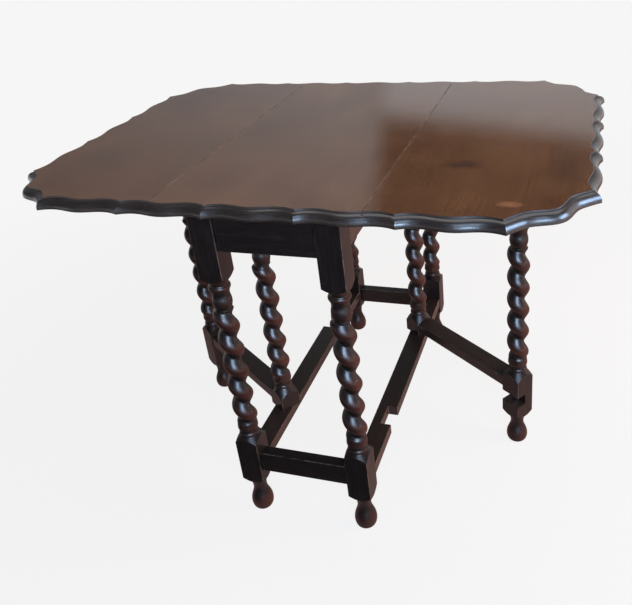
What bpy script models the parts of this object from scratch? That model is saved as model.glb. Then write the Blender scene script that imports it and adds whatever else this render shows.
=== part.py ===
"""Gate-leg drop-leaf table in dark oak, with both leaves up on their open gates.

X runs across the leaves, Y along the hinge lines and Z up, in metres. The origin is on the
floor under the middle of the top. The leaves repeat after a half turn about Z, and so do the
frame and gates about the frame's own middle, so each side is modelled once and placed twice.
"""
import math

import bmesh
import bpy
from mathutils import Matrix

# Overall sizes
TABLE_HEIGHT = 0.735
TOP_WIDTH = 1.101
TOP_LENGTH = 0.798
TOP_THICKNESS = 0.020
CENTRE_WIDTH = 0.389
CORNER_CUT = 0.131
END_OVERHANG = 0.0296
SIDE_OVERHANG = 0.0533
FRAME_OFFSET = 0.009

# Scalloped outline of the top: counts, depths outward from the straight edge, and how far
# from the middle of a scallop its hollow lies, as a share of the way to the point
END_SCALLOPS = 5
SIDE_SCALLOPS = 3
SCALLOP_STEPS = 8
SCALLOP_HOLLOW = 0.0075
SCALLOP_SWELL = 0.0
CORNER_HOLLOW = 0.0025
CORNER_SWELL = 0.017
HOLLOW_PLACE = 0.62

# Thumbnail moulding worked round the top
MOULDING_WIDTH = 0.014
MOULDING_LIP = 0.003
MOULDING_STEP = 0.003
MOULDING_ANGLES = (0, 35, 65, 90)

# Rule joint between the centre board and each leaf
RULE_FILLET = 0.004
RULE_GAP = 0.0005
SEAM_GAP = 0.001
PIN_HEIGHT = 0.0025
RULE_STEPS = 6

# Legs: a square stick with a turned foot, a turned base, a left-hand twist and a turned neck
LEG_SIZE = 0.0472
LEG_SIDES = 12
FOOT_HEIGHT = 0.091
LOWER_BLOCK = 0.104
BASE_TURNING = 0.045
NECK_TURNING = 0.070
BLOCK_BELOW_APRON = 0.060
SHOULDER = 0.012
TWIST_PITCH = 0.0535
TWIST_STEPS = 5
TWIST_FADE = 0.012
TWIST_ROUNDNESS = 0.8

# How much lower than on a corner leg the lower block and the turnings beside it sit
GATE_BLOCK_DROP = 0.009
PIVOT_BLOCK_DROP = 0.022

# Turn of each twist where it starts, in turns
TWIST_PHASES = {"front_right": 0.18, "back_right": 0.56, "back_left": 0.68, "front_left": 0.75,
                "pivot": 0.78, "gate": 0.50}

# Turned profiles, as shares of their own height and of half the leg's size
FOOT_PROFILE = ((0, 0.74), (0.10, 0.93), (0.22, 0.975), (0.37, 0.87), (0.53, 0.66),
                (0.66, 0.55), (0.80, 0.64))
BASE_PROFILE = ((0.27, 0.90), (0.38, 0.76), (0.52, 0.82), (0.70, 0.68), (0.90, 0.58))
NECK_PROFILE = ((0.06, 0.57), (0.20, 0.78), (0.35, 0.88), (0.48, 0.77), (0.57, 0.62),
                (0.67, 0.80), (0.77, 0.84))
SHOULDER_SHARE = 0.90
BLOCK_SHARE = 1.53
CREST_SHARE = 0.995
VALLEY_SHARE = 0.57

# Aprons under the top and stretchers near the floor
APRON_DEPTH = 0.080
APRON_RECESS = 0.006
END_APRON_THICKNESS = 0.022
SIDE_APRON_THICKNESS = 0.026
FRONT_STRETCHER_HEIGHT = 0.047
FRONT_STRETCHER_FLOOR = 0.1134
BACK_STRETCHER_HEIGHT = 0.041
BACK_STRETCHER_FLOOR = 0.102
END_STRETCHER_THICKNESS = 0.024
SIDE_STRETCHER_HEIGHT = 0.023
SIDE_STRETCHER_WIDTH = 0.044
SIDE_STRETCHER_FLOOR = 0.1155

# Mortise and tenon joints
TENON_LENGTH = 0.018
TENON_THICKNESS = 0.008
TENON_SHOULDER = 0.006

# Gates: a pivot post, a gate leg and two rails, swung out on round pintles
GATE_RADIUS = 0.3405
PIVOT_Y = 0.172
RIGHT_GATE_OPEN = math.radians(53.4)
LEFT_GATE_OPEN = math.radians(55.5)
UPPER_RAIL_HEIGHT = 0.052
UPPER_RAIL_THICKNESS = 0.022
UPPER_RAIL_DROP = 0.005
LOWER_RAIL_HEIGHT = 0.0245
LOWER_RAIL_THICKNESS = 0.043
LOWER_RAIL_LIFT = 0.011
FOOT_PINTLE_RADIUS = 0.008
HEAD_PINTLE_RADIUS = 0.005
PINTLE_LENGTH = 0.016
APRON_LAP = 0.0136
LAP_SLACK = 0.0044
LAP_PLAY = 0.0008
NOTCH_SLACK = 0.002
STOP_LENGTH = 0.045
STOP_WIDTH = 0.012
STOP_HEIGHT = 0.012
STOP_GAP = 0.0005

# Back-flap hinges, two to a leaf, with sunk knuckles and countersunk screws
HINGE_Y = 0.25
HINGE_LENGTH = 0.045
KNUCKLE_RADIUS = 0.0032
PIN_RADIUS = 0.0014
KNUCKLE_GAP = 0.0006
FLAP_THICKNESS = 0.0018
FLAP_OFFSET = 0.0052
FIXED_FLAP = 0.027
LEAF_FLAP = 0.040
SCREW_SPACING = 0.028
SCREW_LENGTH = 0.013
SCREW_RADIUS = 0.0016
SCREW_HEAD_RADIUS = 0.0034
SCREW_SIDES = 6
KNUCKLE_ROOM = 0.0006

# Glue blocks that hold the centre board to the side aprons
GLUE_BLOCK = 0.022
GLUE_BLOCK_LENGTH = 0.060
GLUE_BLOCK_Y = 0.115

# Clearances: pieces that touch, the leaf above its gate leg, and a cutter past a face
SEAT_GAP = 0.0003
LEAF_GAP = 0.0005
CUT_PAST = 0.01
MORTISE_END = 0.0008

# Places worked out from the sizes above
TOP_UNDERSIDE = TABLE_HEIGHT - TOP_THICKNESS
APRON_FLOOR = TOP_UNDERSIDE - APRON_DEPTH
LEG_HALF = LEG_SIZE / 2
LEG_X = CENTRE_WIDTH / 2 - SIDE_OVERHANG - LEG_HALF
LEG_Y = TOP_LENGTH / 2 - END_OVERHANG - LEG_HALF
SEAM_X = CENTRE_WIDTH / 2
PIN_Z = TOP_UNDERSIDE + PIN_HEIGHT
RULE_RADIUS = TOP_THICKNESS - RULE_FILLET - PIN_HEIGHT
LOWER_BLOCK_TOP = FOOT_HEIGHT + LOWER_BLOCK
UPPER_BLOCK_FLOOR = APRON_FLOOR - BLOCK_BELOW_APRON
SIDE_STRETCHER_TOP = SIDE_STRETCHER_FLOOR + SIDE_STRETCHER_HEIGHT
SIDE_APRON_FACE = LEG_X + LEG_HALF - APRON_RECESS
SIDE_APRON_MIDDLE = SIDE_APRON_FACE - SIDE_APRON_THICKNESS / 2
END_APRON_FACE = LEG_Y + LEG_HALF - APRON_RECESS
END_APRON_MIDDLE = END_APRON_FACE - END_APRON_THICKNESS / 2
CLOSED_Y = PIVOT_Y - GATE_RADIUS

HALVES = (
    {"side": "right", "near": "front", "far": "back", "turn": 0.0, "offset": FRAME_OFFSET,
     "open": RIGHT_GATE_OPEN},
    {"side": "left", "near": "back", "far": "front", "turn": math.pi, "offset": -FRAME_OFFSET,
     "open": LEFT_GATE_OPEN},
)

# Floor and top of each end stretcher
END_STRETCHERS = {
    "front": (FRONT_STRETCHER_FLOOR, FRONT_STRETCHER_FLOOR + FRONT_STRETCHER_HEIGHT),
    "back": (BACK_STRETCHER_FLOOR, BACK_STRETCHER_FLOOR + BACK_STRETCHER_HEIGHT),
}

# Finishes: base colour, roughness and metallic value
FINISHES = {
    "top_oak": ((0.085, 0.040, 0.024, 1), 0.28, 0.0),
    "frame_oak": ((0.030, 0.015, 0.010, 1), 0.32, 0.0),
    "hinge_iron": ((0.060, 0.055, 0.050, 1), 0.50, 0.9),
    "screw_steel": ((0.180, 0.170, 0.160, 1), 0.40, 1.0),
}


def clear_scene():
    for item in list(bpy.data.objects):
        bpy.data.objects.remove(item, do_unlink=True)


def new_collection(name):
    collection = bpy.data.collections.new(name)
    bpy.context.scene.collection.children.link(collection)
    return collection


def finish_material(name, finish):
    colour, roughness, metallic = FINISHES[finish]
    material = bpy.data.materials.new(name + "_" + finish)
    material.use_nodes = True
    shader = material.node_tree.nodes["Principled BSDF"]
    shader.inputs["Base Color"].default_value = colour
    shader.inputs["Roughness"].default_value = roughness
    shader.inputs["Metallic"].default_value = metallic
    return material


def add_axis(name, parent, location, turn):
    axis = bpy.data.objects.new(name, None)
    axis.empty_display_size = 0.05
    axis.parent = parent
    axis.location = location
    axis.rotation_euler = (0, 0, turn)
    PARTS.objects.link(axis)
    return axis


def mesh_from(name, shape):
    bmesh.ops.recalc_face_normals(shape, faces=shape.faces)
    mesh = bpy.data.meshes.new(name)
    shape.to_mesh(mesh)
    shape.free()
    return mesh


def add_part(name, shape, finish, parent=None, location=(0, 0, 0)):
    part = bpy.data.objects.new(name, mesh_from(name, shape))
    part.data.materials.append(finish_material(name, finish))
    part.parent = parent
    part.location = location
    PARTS.objects.link(part)
    return part


def apply_cutter(part, shape, operation):
    name = part.name + "_" + operation.lower()
    cutter = bpy.data.objects.new(name, mesh_from(name, shape))
    cutter.parent = part.parent
    cutter.location = part.location
    cutter.hide_render = True
    cutter.display_type = "WIRE"
    CUTTERS.objects.link(cutter)
    boolean = part.modifiers.new(operation.lower(), "BOOLEAN")
    boolean.operation = operation
    boolean.solver = "EXACT"
    boolean.object = cutter


def add_box(shape, x_range, y_range, z_range):
    cube = bmesh.ops.create_cube(shape, size=1.0)
    for vert in cube["verts"]:
        vert.co.x = x_range[vert.co.x > 0]
        vert.co.y = y_range[vert.co.y > 0]
        vert.co.z = z_range[vert.co.z > 0]


def box_shape(x_range, y_range, z_range):
    shape = bmesh.new()
    add_box(shape, x_range, y_range, z_range)
    return shape


def add_rod(shape, radius, length, sides, place):
    bmesh.ops.create_cone(shape, cap_ends=True, segments=sides, radius1=radius,
                          radius2=radius, depth=length, matrix=place)


def upright_rod(shape, x, y, z_range, radius, sides=12):
    middle = (z_range[0] + z_range[1]) / 2
    place = Matrix.Translation((x, y, middle))
    add_rod(shape, radius, z_range[1] - z_range[0], sides, place)


def lying_rod(shape, x, z, y_range, radius, sides=8):
    middle = (y_range[0] + y_range[1]) / 2
    place = Matrix.Translation((x, middle, z)) @ Matrix.Rotation(math.pi / 2, 4, "X")
    add_rod(shape, radius, y_range[1] - y_range[0], sides, place)


def loft(rings):
    """Extrude a face from ring to ring, so both ends stay closed."""
    shape = bmesh.new()
    slot = shape.verts.layers.int.new("slot")
    verts = []
    for index, point in enumerate(rings[0]):
        vert = shape.verts.new(point)
        vert[slot] = index
        verts.append(vert)
    face = shape.faces.new(verts)
    for level, ring in enumerate(rings[1:]):
        grown = bmesh.ops.extrude_face_region(shape, geom=[face])
        if level:
            bmesh.ops.delete(shape, geom=[face], context="FACES_ONLY")
        face = next(item for item in grown["geom"] if isinstance(item, bmesh.types.BMFace))
        for vert in face.verts:
            vert.co = ring[vert[slot]]
    return shape


# Top: outline, moulding and rule joints

def scallop_offset(share, swell, hollow):
    """Outward offset at a share of the way from a scallop's middle to its point."""
    if share < HOLLOW_PLACE:
        rise = 0.5 + 0.5 * math.cos(math.pi * share / HOLLOW_PLACE)
        return (swell + hollow) * rise - hollow
    rise = ((share - HOLLOW_PLACE) / (1 - HOLLOW_PLACE)) ** 2
    return hollow * (rise - 1)


def edge_points(start, end, count, swell, hollow):
    dx = end[0] - start[0]
    dy = end[1] - start[1]
    length = math.hypot(dx, dy)
    points = []
    for step in range(count * SCALLOP_STEPS):
        place = step / SCALLOP_STEPS
        share = abs(2 * (place % 1) - 1)
        along = place / count
        out = scallop_offset(share, swell, hollow)
        points.append((start[0] + dx * along + dy / length * out,
                       start[1] + dy * along - dx / length * out))
    return points


def top_outline(inset):
    half_x = TOP_WIDTH / 2 - inset
    half_y = TOP_LENGTH / 2 - inset
    creep = CORNER_CUT - inset * (2 - math.sqrt(2))
    corner_x = half_x - creep
    corner_y = half_y - creep
    corners = [(-corner_x, -half_y), (corner_x, -half_y), (half_x, -corner_y), (half_x, corner_y),
               (corner_x, half_y), (-corner_x, half_y), (-half_x, corner_y), (-half_x, -corner_y)]
    points = []
    for index, start in enumerate(corners):
        end = corners[(index + 1) % len(corners)]
        if index % 2:
            points += edge_points(start, end, 1, CORNER_SWELL, CORNER_HOLLOW)
        else:
            count = SIDE_SCALLOPS if index % 4 else END_SCALLOPS
            points += edge_points(start, end, count, SCALLOP_SWELL, SCALLOP_HOLLOW)
    return points


def top_blank():
    """The whole moulded top, before the leaves are sawn off."""
    curve_floor = TOP_UNDERSIDE + MOULDING_LIP
    curve_height = TOP_THICKNESS - MOULDING_LIP - MOULDING_STEP
    levels = [(0, TOP_UNDERSIDE)]
    for degrees in MOULDING_ANGLES:
        angle = math.radians(degrees)
        inset = MOULDING_WIDTH * (1 - math.cos(angle))
        levels.append((inset, curve_floor + curve_height * math.sin(angle)))
    levels.append((MOULDING_WIDTH, TABLE_HEIGHT))
    rings = []
    for inset, height in levels:
        rings.append([(x, y, height) for x, y in top_outline(inset)])
    return loft(rings)


def rule_arc(radius, first_angle):
    points = []
    for step in range(RULE_STEPS + 1):
        angle = first_angle * (1 - step / RULE_STEPS)
        points.append((SEAM_X + radius * math.cos(angle), PIN_Z + radius * math.sin(angle)))
    return points


def prism_along_y(section):
    reach = TOP_LENGTH
    return loft([[(x, y, z) for x, z in section] for y in (-reach, reach)])


def centre_section():
    high = TABLE_HEIGHT + CUT_PAST
    low = TOP_UNDERSIDE - CUT_PAST
    half = [(SEAM_X, high)] + rule_arc(RULE_RADIUS, math.pi / 2)
    half.append((SEAM_X + RULE_RADIUS, low))
    return half + [(-x, z) for x, z in reversed(half)]


def leaf_section():
    high = TABLE_HEIGHT + CUT_PAST
    low = TOP_UNDERSIDE - CUT_PAST
    radius = RULE_RADIUS + RULE_GAP
    section = [(TOP_WIDTH, high), (SEAM_X + SEAM_GAP, high)]
    section += rule_arc(radius, math.acos(SEAM_GAP / radius))
    section.append((SEAM_X + radius, low))
    section.append((TOP_WIDTH, low))
    return section


def screw_places(hinge_y):
    """X and Y of a hinge's two screws in the fixed flap, then its two in the leaf flap."""
    fixed_x = SEAM_X - FLAP_OFFSET - FIXED_FLAP * 0.55
    leaf_x = SEAM_X + FLAP_OFFSET + LEAF_FLAP * 0.7
    ends = (hinge_y - SCREW_SPACING / 2, hinge_y + SCREW_SPACING / 2)
    return [(fixed_x, y) for y in ends], [(leaf_x, y) for y in ends]


def screw_rings(x, y, room):
    head = TOP_UNDERSIDE - SEAT_GAP - FLAP_THICKNESS
    levels = [(head - room, SCREW_HEAD_RADIUS + room), (head + room, SCREW_HEAD_RADIUS + room),
              (head + FLAP_THICKNESS + room, SCREW_RADIUS + room),
              (head + SCREW_LENGTH + room, SCREW_RADIUS + room)]
    if room == 0:
        levels = levels[1:]
    rings = []
    for height, radius in levels:
        ring = []
        for side in range(SCREW_SIDES):
            angle = 2 * math.pi * side / SCREW_SIDES
            ring.append((x + radius * math.cos(angle), y + radius * math.sin(angle), height))
        rings.append(ring)
    return rings


def join_shapes(shapes):
    joined = bmesh.new()
    for shape in shapes:
        mesh = mesh_from("joined", shape)
        joined.from_mesh(mesh)
        bpy.data.meshes.remove(mesh)
    return joined


def screw_holes(places):
    return [loft(screw_rings(x, y, SEAT_GAP)) for x, y in places]


def centre_recesses():
    """Knuckle grooves and screw holes in the centre board's underside."""
    cuts = []
    room = KNUCKLE_RADIUS + KNUCKLE_ROOM
    for turn in (1, -1):
        for hinge_y in (-HINGE_Y, HINGE_Y):
            half = HINGE_LENGTH / 2 + KNUCKLE_ROOM
            sides = sorted((turn * (SEAM_X - room), turn * (SEAM_X + room)))
            cuts.append(box_shape(sides, (hinge_y - half, hinge_y + half),
                                  (TOP_UNDERSIDE - CUT_PAST, PIN_Z + room)))
            fixed, leaf = screw_places(hinge_y)
            cuts += screw_holes([(turn * x, turn * y) for x, y in fixed])
    return join_shapes(cuts)


def make_centre_board():
    board = add_part("centre_board", top_blank(), "top_oak")
    apply_cutter(board, prism_along_y(centre_section()), "INTERSECT")
    apply_cutter(board, centre_recesses(), "DIFFERENCE")


def make_leaf(half, axis):
    place = (-SEAM_X, 0, -PIN_Z)
    leaf = add_part(half["side"] + "_leaf", top_blank(), "top_oak", axis, place)
    apply_cutter(leaf, prism_along_y(leaf_section()), "INTERSECT")
    holes = []
    for hinge_y in (-HINGE_Y, HINGE_Y):
        holes += screw_holes(screw_places(hinge_y)[1])
    apply_cutter(leaf, join_shapes(holes), "DIFFERENCE")


def make_gate_stop(half, axis):
    """Block under the leaf that the open gate leg comes to rest against."""
    out = LEG_HALF + STOP_GAP + STOP_WIDTH / 2
    pivot = Matrix.Translation((LEG_X + half["offset"], PIVOT_Y, 0))
    centre = pivot @ Matrix.Rotation(half["open"], 4, "Z")
    top = TOP_UNDERSIDE - SEAT_GAP
    shape = box_shape((out - STOP_WIDTH / 2, out + STOP_WIDTH / 2),
                      (-GATE_RADIUS - STOP_LENGTH / 2, -GATE_RADIUS + STOP_LENGTH / 2),
                      (top - STOP_HEIGHT, top))
    bmesh.ops.transform(shape, matrix=centre, verts=shape.verts)
    add_part(half["side"] + "_gate_stop", shape, "frame_oak", axis, (-SEAM_X, 0, -PIN_Z))


# Hinges

def flap_shape(hinge_y, x_range, knuckles):
    """A flap, its tabs to the pin line and its knuckles, as overlapping solids."""
    top = TOP_UNDERSIDE - SEAT_GAP
    z_range = (top - FLAP_THICKNESS, top)
    plate = box_shape(x_range, (hinge_y - HINGE_LENGTH / 2, hinge_y + HINGE_LENGTH / 2), z_range)
    joined = []
    inner = min(x_range, key=lambda x: abs(x - SEAM_X))
    overlap = FLAP_OFFSET if inner > SEAM_X else -FLAP_OFFSET
    for low, high in knuckles:
        tab = sorted((SEAM_X, inner + overlap))
        skim = FLAP_THICKNESS * 0.1
        joined.append(box_shape(tab, (low, high), (z_range[0] + skim, z_range[1] - skim)))
        knuckle = bmesh.new()
        lying_rod(knuckle, SEAM_X, PIN_Z, (low, high), KNUCKLE_RADIUS)
        joined.append(knuckle)
    return plate, joined


def bore_shape(hinge_y):
    bore = bmesh.new()
    reach = HINGE_LENGTH / 2 + CUT_PAST
    lying_rod(bore, SEAM_X, PIN_Z, (hinge_y - reach, hinge_y + reach), PIN_RADIUS + SEAT_GAP)
    return bore


def make_flap(name, hinge_y, x_range, knuckles, screws, axis, place):
    plate, joined = flap_shape(hinge_y, x_range, knuckles)
    flap = add_part(name, plate, "hinge_iron", axis, place)
    for shape in joined:
        apply_cutter(flap, shape, "UNION")
    apply_cutter(flap, bore_shape(hinge_y), "DIFFERENCE")
    apply_cutter(flap, join_shapes(screw_holes(screws)), "DIFFERENCE")


def make_screws(name, places, axis, place):
    for index, (x, y) in enumerate(places):
        label = name + "_screw_" + str(index + 1)
        add_part(label, loft(screw_rings(x, y, 0)), "screw_steel", axis, place)


def make_hinge(half, end, hinge_y, root, leaf_axis):
    name = half["side"] + "_" + end + "_hinge"
    third = HINGE_LENGTH / 6 + KNUCKLE_GAP / 2
    outer = HINGE_LENGTH / 2
    inner = third - KNUCKLE_GAP
    ends = ((hinge_y - outer, hinge_y - third), (hinge_y + third, hinge_y + outer))
    middle = ((hinge_y - inner, hinge_y + inner),)
    fixed_edge = SEAM_X - FLAP_OFFSET
    leaf_edge = SEAM_X + FLAP_OFFSET
    fixed_screws, leaf_screws = screw_places(hinge_y)
    on_leaf = (-SEAM_X, 0, -PIN_Z)
    make_flap(name + "_fixed_flap", hinge_y, (fixed_edge - FIXED_FLAP, fixed_edge), ends,
              fixed_screws, root, (0, 0, 0))
    make_flap(name + "_leaf_flap", hinge_y, (leaf_edge, leaf_edge + LEAF_FLAP), middle,
              leaf_screws, leaf_axis, on_leaf)
    pin = bmesh.new()
    lying_rod(pin, SEAM_X, PIN_Z, (hinge_y - outer, hinge_y + outer), PIN_RADIUS)
    add_part(name + "_pin", pin, "screw_steel", root)
    make_screws(name + "_fixed", fixed_screws, root, (0, 0, 0))
    make_screws(name + "_leaf", leaf_screws, leaf_axis, on_leaf)


# Turned legs

def turned_ring(share, height):
    radius = share * LEG_HALF
    ring = []
    for side in range(LEG_SIDES):
        angle = 2 * math.pi * side / LEG_SIDES
        ring.append((radius * math.cos(angle), radius * math.sin(angle), height))
    return ring


def twist_ring(height, floor, ceiling, phase):
    """One-start left-hand twist, faded to a round stem at both ends."""
    fade = min(1, (height - floor) / TWIST_FADE, (ceiling - height) / TWIST_FADE)
    ring = []
    for side in range(LEG_SIDES):
        turn = side / LEG_SIDES
        wave = abs(math.cos(math.pi * (height / TWIST_PITCH + turn + phase)))
        share = VALLEY_SHARE + (CREST_SHARE - VALLEY_SHARE) * fade * wave ** TWIST_ROUNDNESS
        radius = share * LEG_HALF
        angle = 2 * math.pi * turn
        ring.append((radius * math.cos(angle), radius * math.sin(angle), height))
    return ring


def profile_rings(profile, floor, height):
    return [turned_ring(share, floor + part * height) for part, share in profile]


def spindle_rings(phase, drop):
    """Rings up the whole leg, wide of the square stick where a block is left."""
    foot_height = FOOT_HEIGHT - drop
    block_top = LOWER_BLOCK_TOP - drop
    twist_floor = block_top + BASE_TURNING
    twist_ceiling = UPPER_BLOCK_FLOOR - NECK_TURNING
    rings = profile_rings(FOOT_PROFILE, 0, foot_height)
    rings.append(turned_ring(SHOULDER_SHARE, foot_height - SHOULDER / 2))
    rings.append(turned_ring(BLOCK_SHARE, foot_height + SHOULDER / 2))
    rings.append(turned_ring(BLOCK_SHARE, block_top - SHOULDER / 2))
    rings.append(turned_ring(SHOULDER_SHARE, block_top + SHOULDER / 2))
    rings += profile_rings(BASE_PROFILE, block_top, BASE_TURNING)
    count = math.ceil((twist_ceiling - twist_floor) / TWIST_PITCH * TWIST_STEPS)
    for step in range(1, count):
        height = twist_floor + (twist_ceiling - twist_floor) * step / count
        rings.append(twist_ring(height, twist_floor, twist_ceiling, phase))
    rings += profile_rings(NECK_PROFILE, twist_ceiling, NECK_TURNING)
    rings.append(turned_ring(SHOULDER_SHARE, UPPER_BLOCK_FLOOR - SHOULDER / 2))
    rings.append(turned_ring(BLOCK_SHARE, UPPER_BLOCK_FLOOR + SHOULDER / 2))
    rings.append(turned_ring(BLOCK_SHARE, TABLE_HEIGHT))
    return rings


def turned_stick(name, phase, drop, z_range, parent, location):
    rings = spindle_rings(TWIST_PHASES[phase], drop)
    stick = add_part(name, loft(rings), "frame_oak", parent, location)
    stick.data.shade_smooth()
    stick.data.set_sharp_from_angle(angle=math.radians(50))
    square = (-LEG_HALF, LEG_HALF)
    apply_cutter(stick, box_shape(square, square, z_range), "INTERSECT")
    return stick


def mortise(face, offset, z_range, along_x, inward):
    """A mortise from the face at LEG_HALF on one side, for a tenon offset from the middle."""
    half = TENON_THICKNESS / 2 + SEAT_GAP
    deep = sorted((inward * (face + CUT_PAST), inward * (face - TENON_LENGTH - MORTISE_END)))
    wide = (offset - half, offset + half)
    tall = (z_range[0] + TENON_SHOULDER - SEAT_GAP, z_range[1] - TENON_SHOULDER + SEAT_GAP)
    if along_x:
        return box_shape(deep, wide, tall)
    return box_shape(wide, deep, tall)


def apron_range():
    return APRON_FLOOR, TOP_UNDERSIDE - SEAT_GAP


def side_stretcher_range():
    return SIDE_STRETCHER_FLOOR, SIDE_STRETCHER_TOP


def make_corner_leg(side, place, end, root):
    """Corner leg on the right; end is -1 at the near end and 1 at the far end."""
    corner = place + "_" + side
    leg = turned_stick(corner + "_leg", corner, 0, (-CUT_PAST, TOP_UNDERSIDE - SEAT_GAP), root,
                       (LEG_X, end * LEG_Y, 0))
    end_offset = end * (END_APRON_MIDDLE - LEG_Y)
    side_offset = SIDE_APRON_MIDDLE - LEG_X
    cuts = [mortise(LEG_HALF, end_offset, apron_range(), True, -1),
            mortise(LEG_HALF, side_offset, apron_range(), False, -end),
            mortise(LEG_HALF, 0, END_STRETCHERS[place], True, -1),
            mortise(LEG_HALF, 0, side_stretcher_range(), False, -end)]
    apply_cutter(leg, join_shapes(cuts), "DIFFERENCE")


# Rails of the frame

def make_rail(name, span, across, thickness, z_range, along_x, root):
    """A rail between two legs, with a tenon at each end."""
    half = thickness / 2
    tenon = TENON_THICKNESS / 2
    length = (span[0] + SEAT_GAP, span[1] - SEAT_GAP)
    reach = (span[0] - TENON_LENGTH, span[1] + TENON_LENGTH)
    tall = (z_range[0] + TENON_SHOULDER, z_range[1] - TENON_SHOULDER)
    if along_x:
        body = box_shape(length, (across - half, across + half), z_range)
        tongue = box_shape(reach, (across - tenon, across + tenon), tall)
    else:
        body = box_shape((across - half, across + half), length, z_range)
        tongue = box_shape((across - tenon, across + tenon), reach, tall)
    rail = add_part(name, body, "frame_oak", root)
    apply_cutter(rail, tongue, "UNION")
    return rail


def closed_leg_range():
    return CLOSED_Y - LEG_HALF - LAP_SLACK, CLOSED_Y + LEG_HALF + LAP_SLACK


def make_side_apron(half, root):
    """Side apron, lapped for the closed gate leg and bored for the pivot post's head."""
    span = (-LEG_Y + LEG_HALF, LEG_Y - LEG_HALF)
    apron = make_rail(half["side"] + "_side_apron", span, SIDE_APRON_MIDDLE,
                      SIDE_APRON_THICKNESS, apron_range(), False, root)
    lap = box_shape((SIDE_APRON_FACE - APRON_LAP, SIDE_APRON_FACE + CUT_PAST), closed_leg_range(),
                    (APRON_FLOOR - CUT_PAST, TABLE_HEIGHT))
    bore = bmesh.new()
    upright_rod(bore, LEG_X, PIVOT_Y,
                (APRON_FLOOR - CUT_PAST, APRON_FLOOR + PINTLE_LENGTH + MORTISE_END),
                HEAD_PINTLE_RADIUS + SEAT_GAP)
    apply_cutter(apron, join_shapes([lap, bore]), "DIFFERENCE")


def make_side_stretcher(half, root):
    """Side stretcher, notched for the closed gate leg and bored for the pivot post's foot."""
    span = (-LEG_Y + LEG_HALF, LEG_Y - LEG_HALF)
    stretcher = make_rail(half["side"] + "_side_stretcher", span, LEG_X, SIDE_STRETCHER_WIDTH,
                          side_stretcher_range(), False, root)
    notch = box_shape((LEG_X, LEG_X + SIDE_STRETCHER_WIDTH), closed_leg_range(),
                      (SIDE_STRETCHER_FLOOR - CUT_PAST, SIDE_STRETCHER_TOP + CUT_PAST))
    bore = bmesh.new()
    upright_rod(bore, LEG_X, PIVOT_Y,
                (SIDE_STRETCHER_TOP - PINTLE_LENGTH - MORTISE_END, SIDE_STRETCHER_TOP + CUT_PAST),
                FOOT_PINTLE_RADIUS + SEAT_GAP)
    apply_cutter(stretcher, join_shapes([notch, bore]), "DIFFERENCE")


def make_end_rails(half, root):
    span = (-LEG_X + LEG_HALF, LEG_X - LEG_HALF)
    make_rail(half["near"] + "_end_apron", span, -END_APRON_MIDDLE, END_APRON_THICKNESS,
              apron_range(), True, root)
    make_rail(half["near"] + "_end_stretcher", span, -LEG_Y, END_STRETCHER_THICKNESS,
              END_STRETCHERS[half["near"]], True, root)


def make_glue_blocks(half, root):
    face = SIDE_APRON_FACE - SIDE_APRON_THICKNESS - SEAT_GAP
    top = TOP_UNDERSIDE - SEAT_GAP
    for end, middle in ((half["near"], -GLUE_BLOCK_Y), (half["far"], GLUE_BLOCK_Y)):
        span = (middle - GLUE_BLOCK_LENGTH / 2, middle + GLUE_BLOCK_LENGTH / 2)
        block = box_shape((face - GLUE_BLOCK, face), span, (top - GLUE_BLOCK, top))
        add_part(half["side"] + "_" + end + "_glue_block", block, "frame_oak", root)


# Gates, modelled closed about their own pivot and turned open by their axis

def gate_rail_ranges():
    upper_top = APRON_FLOOR - UPPER_RAIL_DROP
    lower_floor = SIDE_STRETCHER_TOP + LOWER_RAIL_LIFT
    return ((upper_top - UPPER_RAIL_HEIGHT, upper_top),
            (lower_floor, lower_floor + LOWER_RAIL_HEIGHT))


def gate_mortises(inward):
    return [mortise(LEG_HALF, 0, z_range, False, inward) for z_range in gate_rail_ranges()]


def make_pivot_post(half, axis):
    floor = SIDE_STRETCHER_TOP + SEAT_GAP
    ceiling = APRON_FLOOR - SEAT_GAP
    post = turned_stick(half["side"] + "_pivot_post", "pivot", PIVOT_BLOCK_DROP, (floor, ceiling),
                        axis, (0, 0, 0))
    foot = bmesh.new()
    upright_rod(foot, 0, 0, (SIDE_STRETCHER_TOP - PINTLE_LENGTH, floor + SHOULDER),
                FOOT_PINTLE_RADIUS)
    apply_cutter(post, foot, "UNION")
    head = bmesh.new()
    upright_rod(head, 0, 0, (ceiling - SHOULDER, APRON_FLOOR + PINTLE_LENGTH), HEAD_PINTLE_RADIUS)
    apply_cutter(post, head, "UNION")
    apply_cutter(post, join_shapes(gate_mortises(-1)), "DIFFERENCE")


def make_gate_leg(half, axis):
    """Gate leg, notched to pass the stretcher and lapped to pass the side apron."""
    top = TOP_UNDERSIDE - LEAF_GAP
    leg = turned_stick(half["side"] + "_gate_leg", "gate", GATE_BLOCK_DROP, (-CUT_PAST, top), axis,
                       (0, -GATE_RADIUS, 0))
    wide = (-LEG_SIZE, LEG_SIZE)
    lap_x = SIDE_APRON_FACE - APRON_LAP + LAP_PLAY - LEG_X
    notch = box_shape((-LEG_SIZE, LAP_PLAY / 2), wide,
                      (SIDE_STRETCHER_FLOOR - NOTCH_SLACK, SIDE_STRETCHER_TOP + NOTCH_SLACK))
    lap = box_shape((-LEG_SIZE, lap_x), wide, (APRON_FLOOR - NOTCH_SLACK, TABLE_HEIGHT))
    apply_cutter(leg, join_shapes([notch, lap] + gate_mortises(1)), "DIFFERENCE")


def make_gate_rails(half, axis):
    span = (-GATE_RADIUS + LEG_HALF, -LEG_HALF)
    upper, lower = gate_rail_ranges()
    make_rail(half["side"] + "_gate_upper_rail", span, 0, UPPER_RAIL_THICKNESS, upper, False, axis)
    make_rail(half["side"] + "_gate_lower_rail", span, 0, LOWER_RAIL_THICKNESS, lower, False, axis)


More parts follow.
